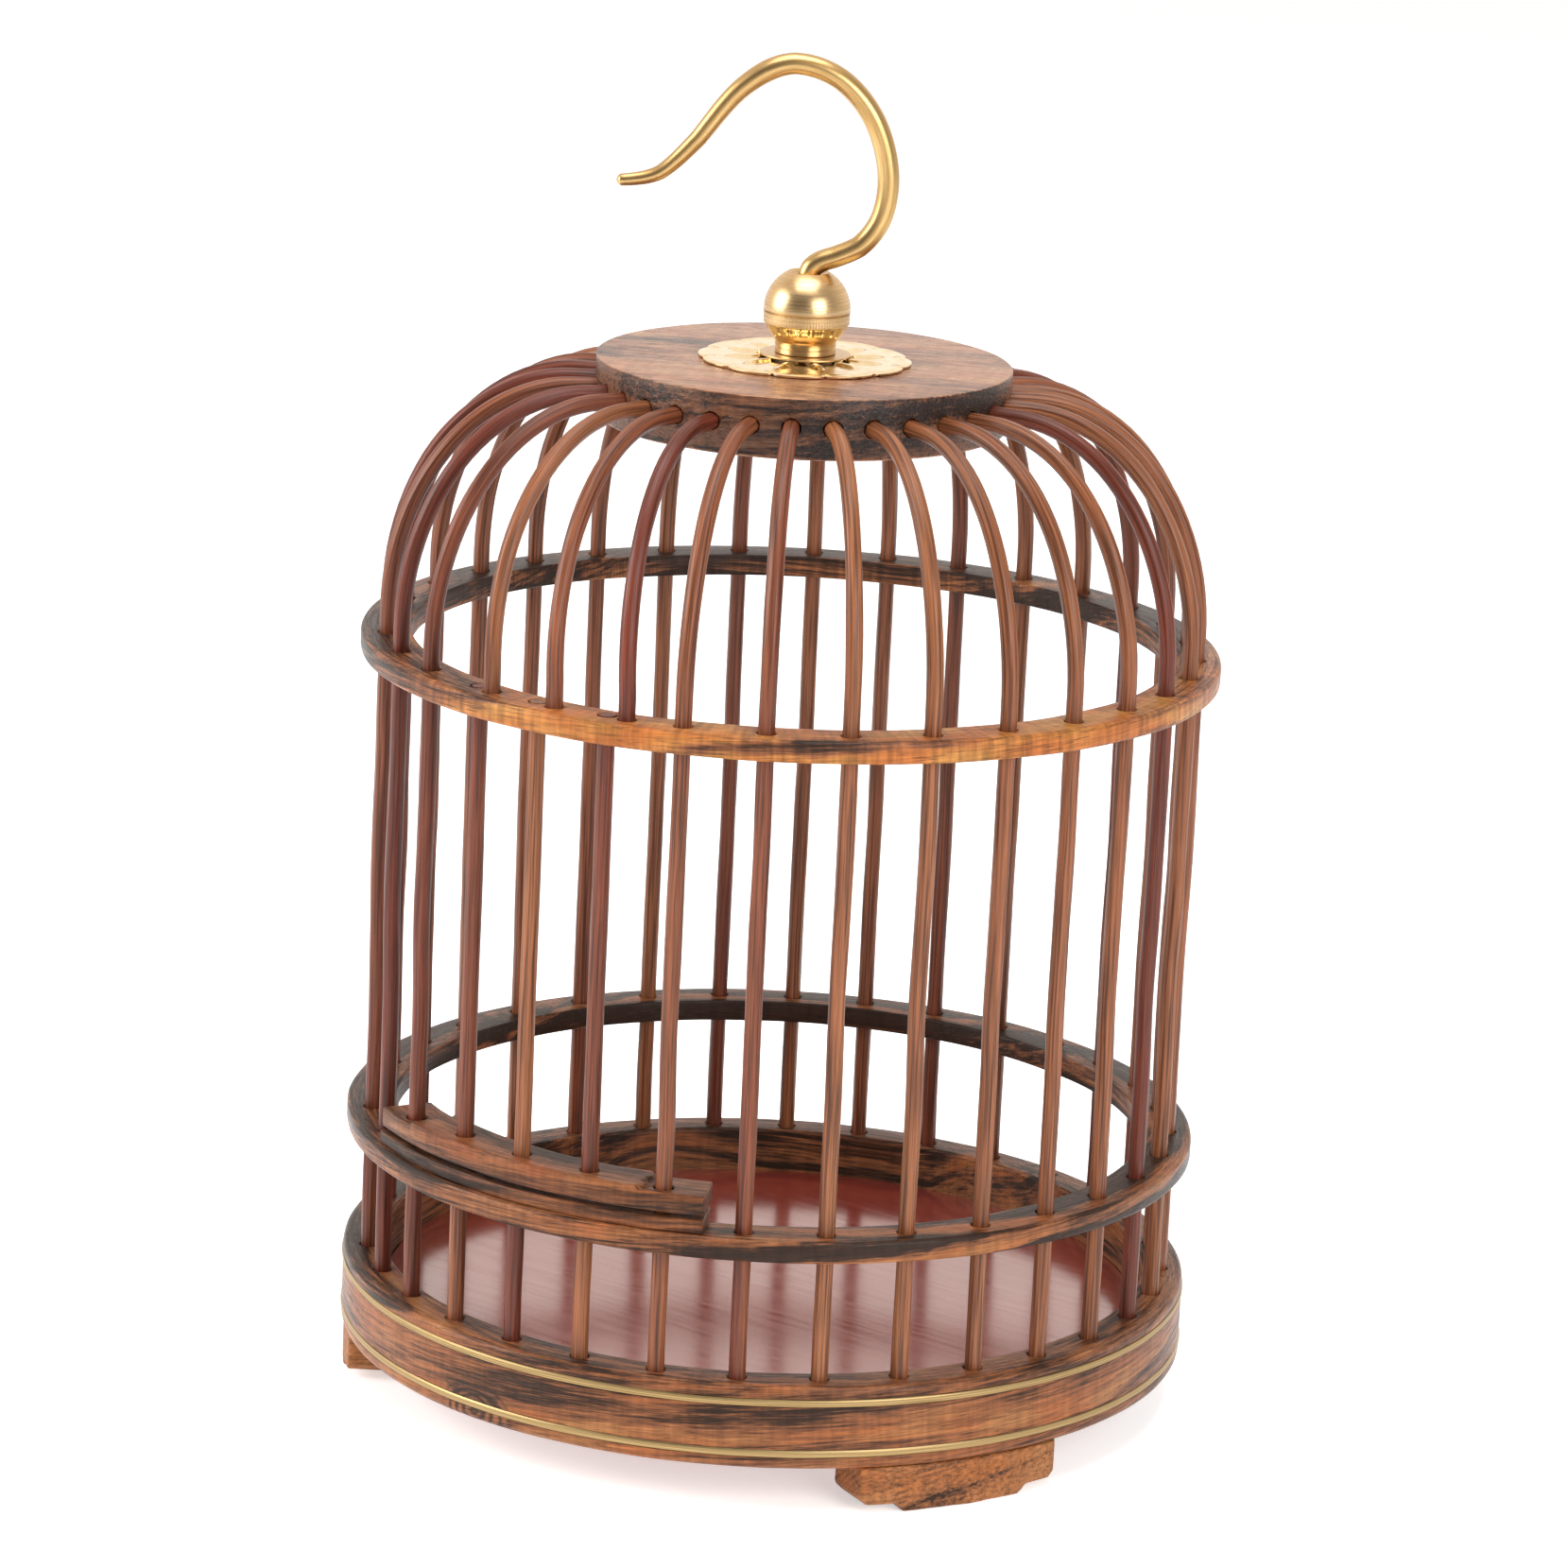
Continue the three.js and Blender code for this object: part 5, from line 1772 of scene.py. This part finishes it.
    def hook(self) -> None:
        """The wire, drawn out thin towards its rounded tip."""
        mouth = self.centre + math.sqrt(self.radius**2 - self.mouth**2) - self.mouth_depth
        path = self.smooth_line(HOOK_LINE, 10)
        lengths = [0.0]
        for (x0, z0), (x1, z1) in zip(path, path[1:]):
            lengths.append(lengths[-1] + math.hypot(x1 - x0, z1 - z0))
        turn = math.radians(self.yaw)
        points = []
        for i, (along, up) in enumerate(path):
            share = max(i / (len(path) - 1) - self.taper_from, 0.0) / (1 - self.taper_from)
            girth = 1 + (self.tip / self.wire - 1) * share
            left = (lengths[-1] - lengths[i]) / self.tip
            if left < 1:
                girth *= max(0.12, math.sqrt(1 - (1 - left) ** 2))
            place = Vector((along * math.cos(turn), along * math.sin(turn), mouth + up))
            points.append((place, 0.0, girth))
        wire = centre_line("hook_wire", points)
        values = {"Count": 1, "First Azimuth": 0.0, "Pitch": 0.0, "Seed": 2, "Sides": 32}
        values["Radius"] = self.wire * MM
        values["Waviness"] = 0.0
        values["Unevenness"] = 0.05 * MM
        values["Material"] = self.finishes.wire_brass
        run_tree(wire, self.trees.rods, values)
        merge(wire)
        hand_over(wire, self.finishes.wire_brass, "swivel_hook", "brass", "hook", sharp_from=60)

    def smooth_line(self, knots: Sequence[tuple[float, float]], steps: int) -> Outline:
        """A smooth line through the knots, after the centripetal Catmull-Rom spline, finer at its tip.

        Args:
            knots: The points that it passes through.
            steps: The number of steps from one knot to the next.

        Returns:
            The line's points.
        """
        line = [Vector(knot) for knot in knots]
        padded = [2 * line[0] - line[1], *line, 2 * line[-1] - line[-2]]
        points: Outline = []
        for i in range(1, len(padded) - 2):
            near = padded[i - 1 : i + 3]
            times = [0.0]
            for a, b in zip(near, near[1:]):
                times.append(times[-1] + math.sqrt((b - a).length))
            for k in range(steps):
                points.append(self.blend(near, times, k / steps))
        before, last = Vector(points[-1]), line[-1]
        tip = [before.lerp(last, share) for share in (0.3, 0.5, 0.65, 0.78, 0.88, 0.95, 1.0)]
        return [*points, *[(point.x, point.y) for point in tip]]

    @staticmethod
    def blend(near: Sequence[Vector], times: Sequence[float], share: float) -> tuple[float, float]:
        """One point of the smooth line, by a pyramid of blends.

        Args:
            near: The four knots about it.
            times: Their times.
            share: The way from the second knot to the third.

        Returns:
            The point.
        """
        time = times[1] + (times[2] - times[1]) * share
        row = list(near)
        for shift, reach in ((0, 1), (0, 2), (1, 2)):
            starts = times[shift:]
            shares = [(time - starts[i]) / (starts[i + reach] - starts[i]) for i in range(len(row) - 1)]
            row = [a.lerp(b, part) for a, b, part in zip(row, row[1:], shares)]
        return row[0].x, row[0].y


# ---- Studio -------------------------------------------------------------------------------------


@dataclass(frozen=True)
class Studio:
    """A pale floor, soft lights and the camera."""

    azimuth: float = 36.5
    elevation: float = 14.363
    roll: float = 2.683
    distance: float = 867.14
    lens: float = 141.76
    target: tuple[float, float, float] = (-0.091, -0.067, 86.315)

    def build(self) -> None:
        """Sets up the floor, the world, the lights and the camera."""
        self.floor()
        self.world()
        self.softbox("softbox_left", (-620, -620, 420), 520, 7.5)
        self.softbox("softbox_right", (760, -260, 380), 460, 4.5)
        self.softbox("softbox_top", (60, -120, 900), 620, 6.0)
        self.camera()
        bpy.context.scene.view_settings.view_transform = "Standard"

    def floor(self) -> None:
        """A wide pale floor."""
        mesh = bpy.data.meshes.new("studio_floor")
        side = 4.0
        corners = [(-side, -side, 0), (side, -side, 0), (side, side, 0), (-side, side, 0)]
        mesh.from_pydata(corners, [], [(0, 1, 2, 3)])
        mesh.materials.append(Paper("studio_paper").material())
        floor = bpy.data.objects.new("studio_floor", mesh)
        bpy.context.scene.collection.objects.link(floor)
        floor.location.z = -0.05 * MM

    def world(self) -> None:
        """A white surround, whose mirror image is warmer and is dim towards the camera, as in a studio."""
        world = bpy.data.worlds.new("studio_surround")
        bpy.context.scene.world = world
        world.use_nodes = True
        tree = world.node_tree
        tree.nodes.clear()
        path = add_node(tree, "ShaderNodeLightPath")
        mirror = path.outputs["Is Glossy Ray"]
        direction = add_node(tree, "ShaderNodeTexCoord").outputs["Generated"]
        turn = math.radians(self.azimuth)
        front = (math.sin(turn), -math.cos(turn), 0)
        facing = add_node(tree, "ShaderNodeVectorMath", direction, front, operation="DOT_PRODUCT")
        dim = add_node(tree, "ShaderNodeMapRange", facing, -0.6, 0.6, 0.75, -0.27)
        lit = add_node(tree, "ShaderNodeMath", mirror, dim, 0.45, operation="MULTIPLY_ADD")
        strength = add_node(tree, "ShaderNodeMath", path.outputs["Is Camera Ray"], lit, operation="MAXIMUM")
        tint = add_node(tree, "ShaderNodeMix", mirror, "#FFFFFF", "#FFF7F0", data_type="RGBA")
        surround = add_node(tree, "ShaderNodeBackground", {"Color": tint, "Strength": strength})
        add_node(tree, "ShaderNodeOutputWorld", {"Surface": surround})

    def softbox(self, name: str, place: tuple[float, float, float], size: float, power: float) -> None:
        """A square softbox that faces the cage.

        Args:
            name: Its name.
            place: Where it stands, in mm.
            size: Its side in mm.
            power: Its power in watts.
        """
        light = bpy.data.lights.new(name, "AREA")
        light.size = size * MM
        light.energy = power
        box = bpy.data.objects.new(name, light)
        bpy.context.scene.collection.objects.link(box)
        box.location = Vector(place) * MM
        aim = Vector((0, 0, 0.08)) - box.location
        box.rotation_euler = aim.to_track_quat("-Z", "Y").to_euler()

    def camera(self) -> None:
        """A long lens that looks down a little on the cage, turned slightly about its own axis."""
        turn, rise, roll = (math.radians(value) for value in (self.azimuth, self.elevation, self.roll))
        right = Vector((math.cos(turn), math.sin(turn), 0))
        back = Vector((math.sin(turn) * math.cos(rise), -math.cos(turn) * math.cos(rise), math.sin(rise)))
        up = back.cross(right)
        side = right * math.cos(roll) + up * math.sin(roll)
        top = up * math.cos(roll) - right * math.sin(roll)
        data = bpy.data.cameras.new("camera")
        data.lens = self.lens
        data.clip_start = 0.01
        camera = bpy.data.objects.new("camera", data)
        bpy.context.scene.collection.objects.link(camera)
        stand = Matrix.Translation((Vector(self.target) + back * self.distance) * MM)
        camera.matrix_world = stand @ Matrix((side, top, back)).transposed().to_4x4()
        bpy.context.scene.camera = camera


# ---- Everything in order ------------------------------------------------------------------------


def main() -> None:
    """Builds the studio and every sub-assembly."""
    logging.basicConfig(level=logging.INFO, format="%(message)s")
    noise.seed_set(HAND_SEED)
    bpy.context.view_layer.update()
    Studio().build()
    layout = Layout()
    trees = Trees(round_array=round_array_tree(), rods=rods_tree())
    finishes = Finishes.make()
    bars = Bars(layout, trees, finishes)
    Base(layout, trees, finishes).build()
    Hoops(layout, trees, finishes).build()
    bars.build()
    Door(layout, trees, finishes, bars).build()
    Cap(layout, trees, finishes, bars).build()
    BallAndHook(trees, finishes).build()


if __name__ == "__main__":
    main()
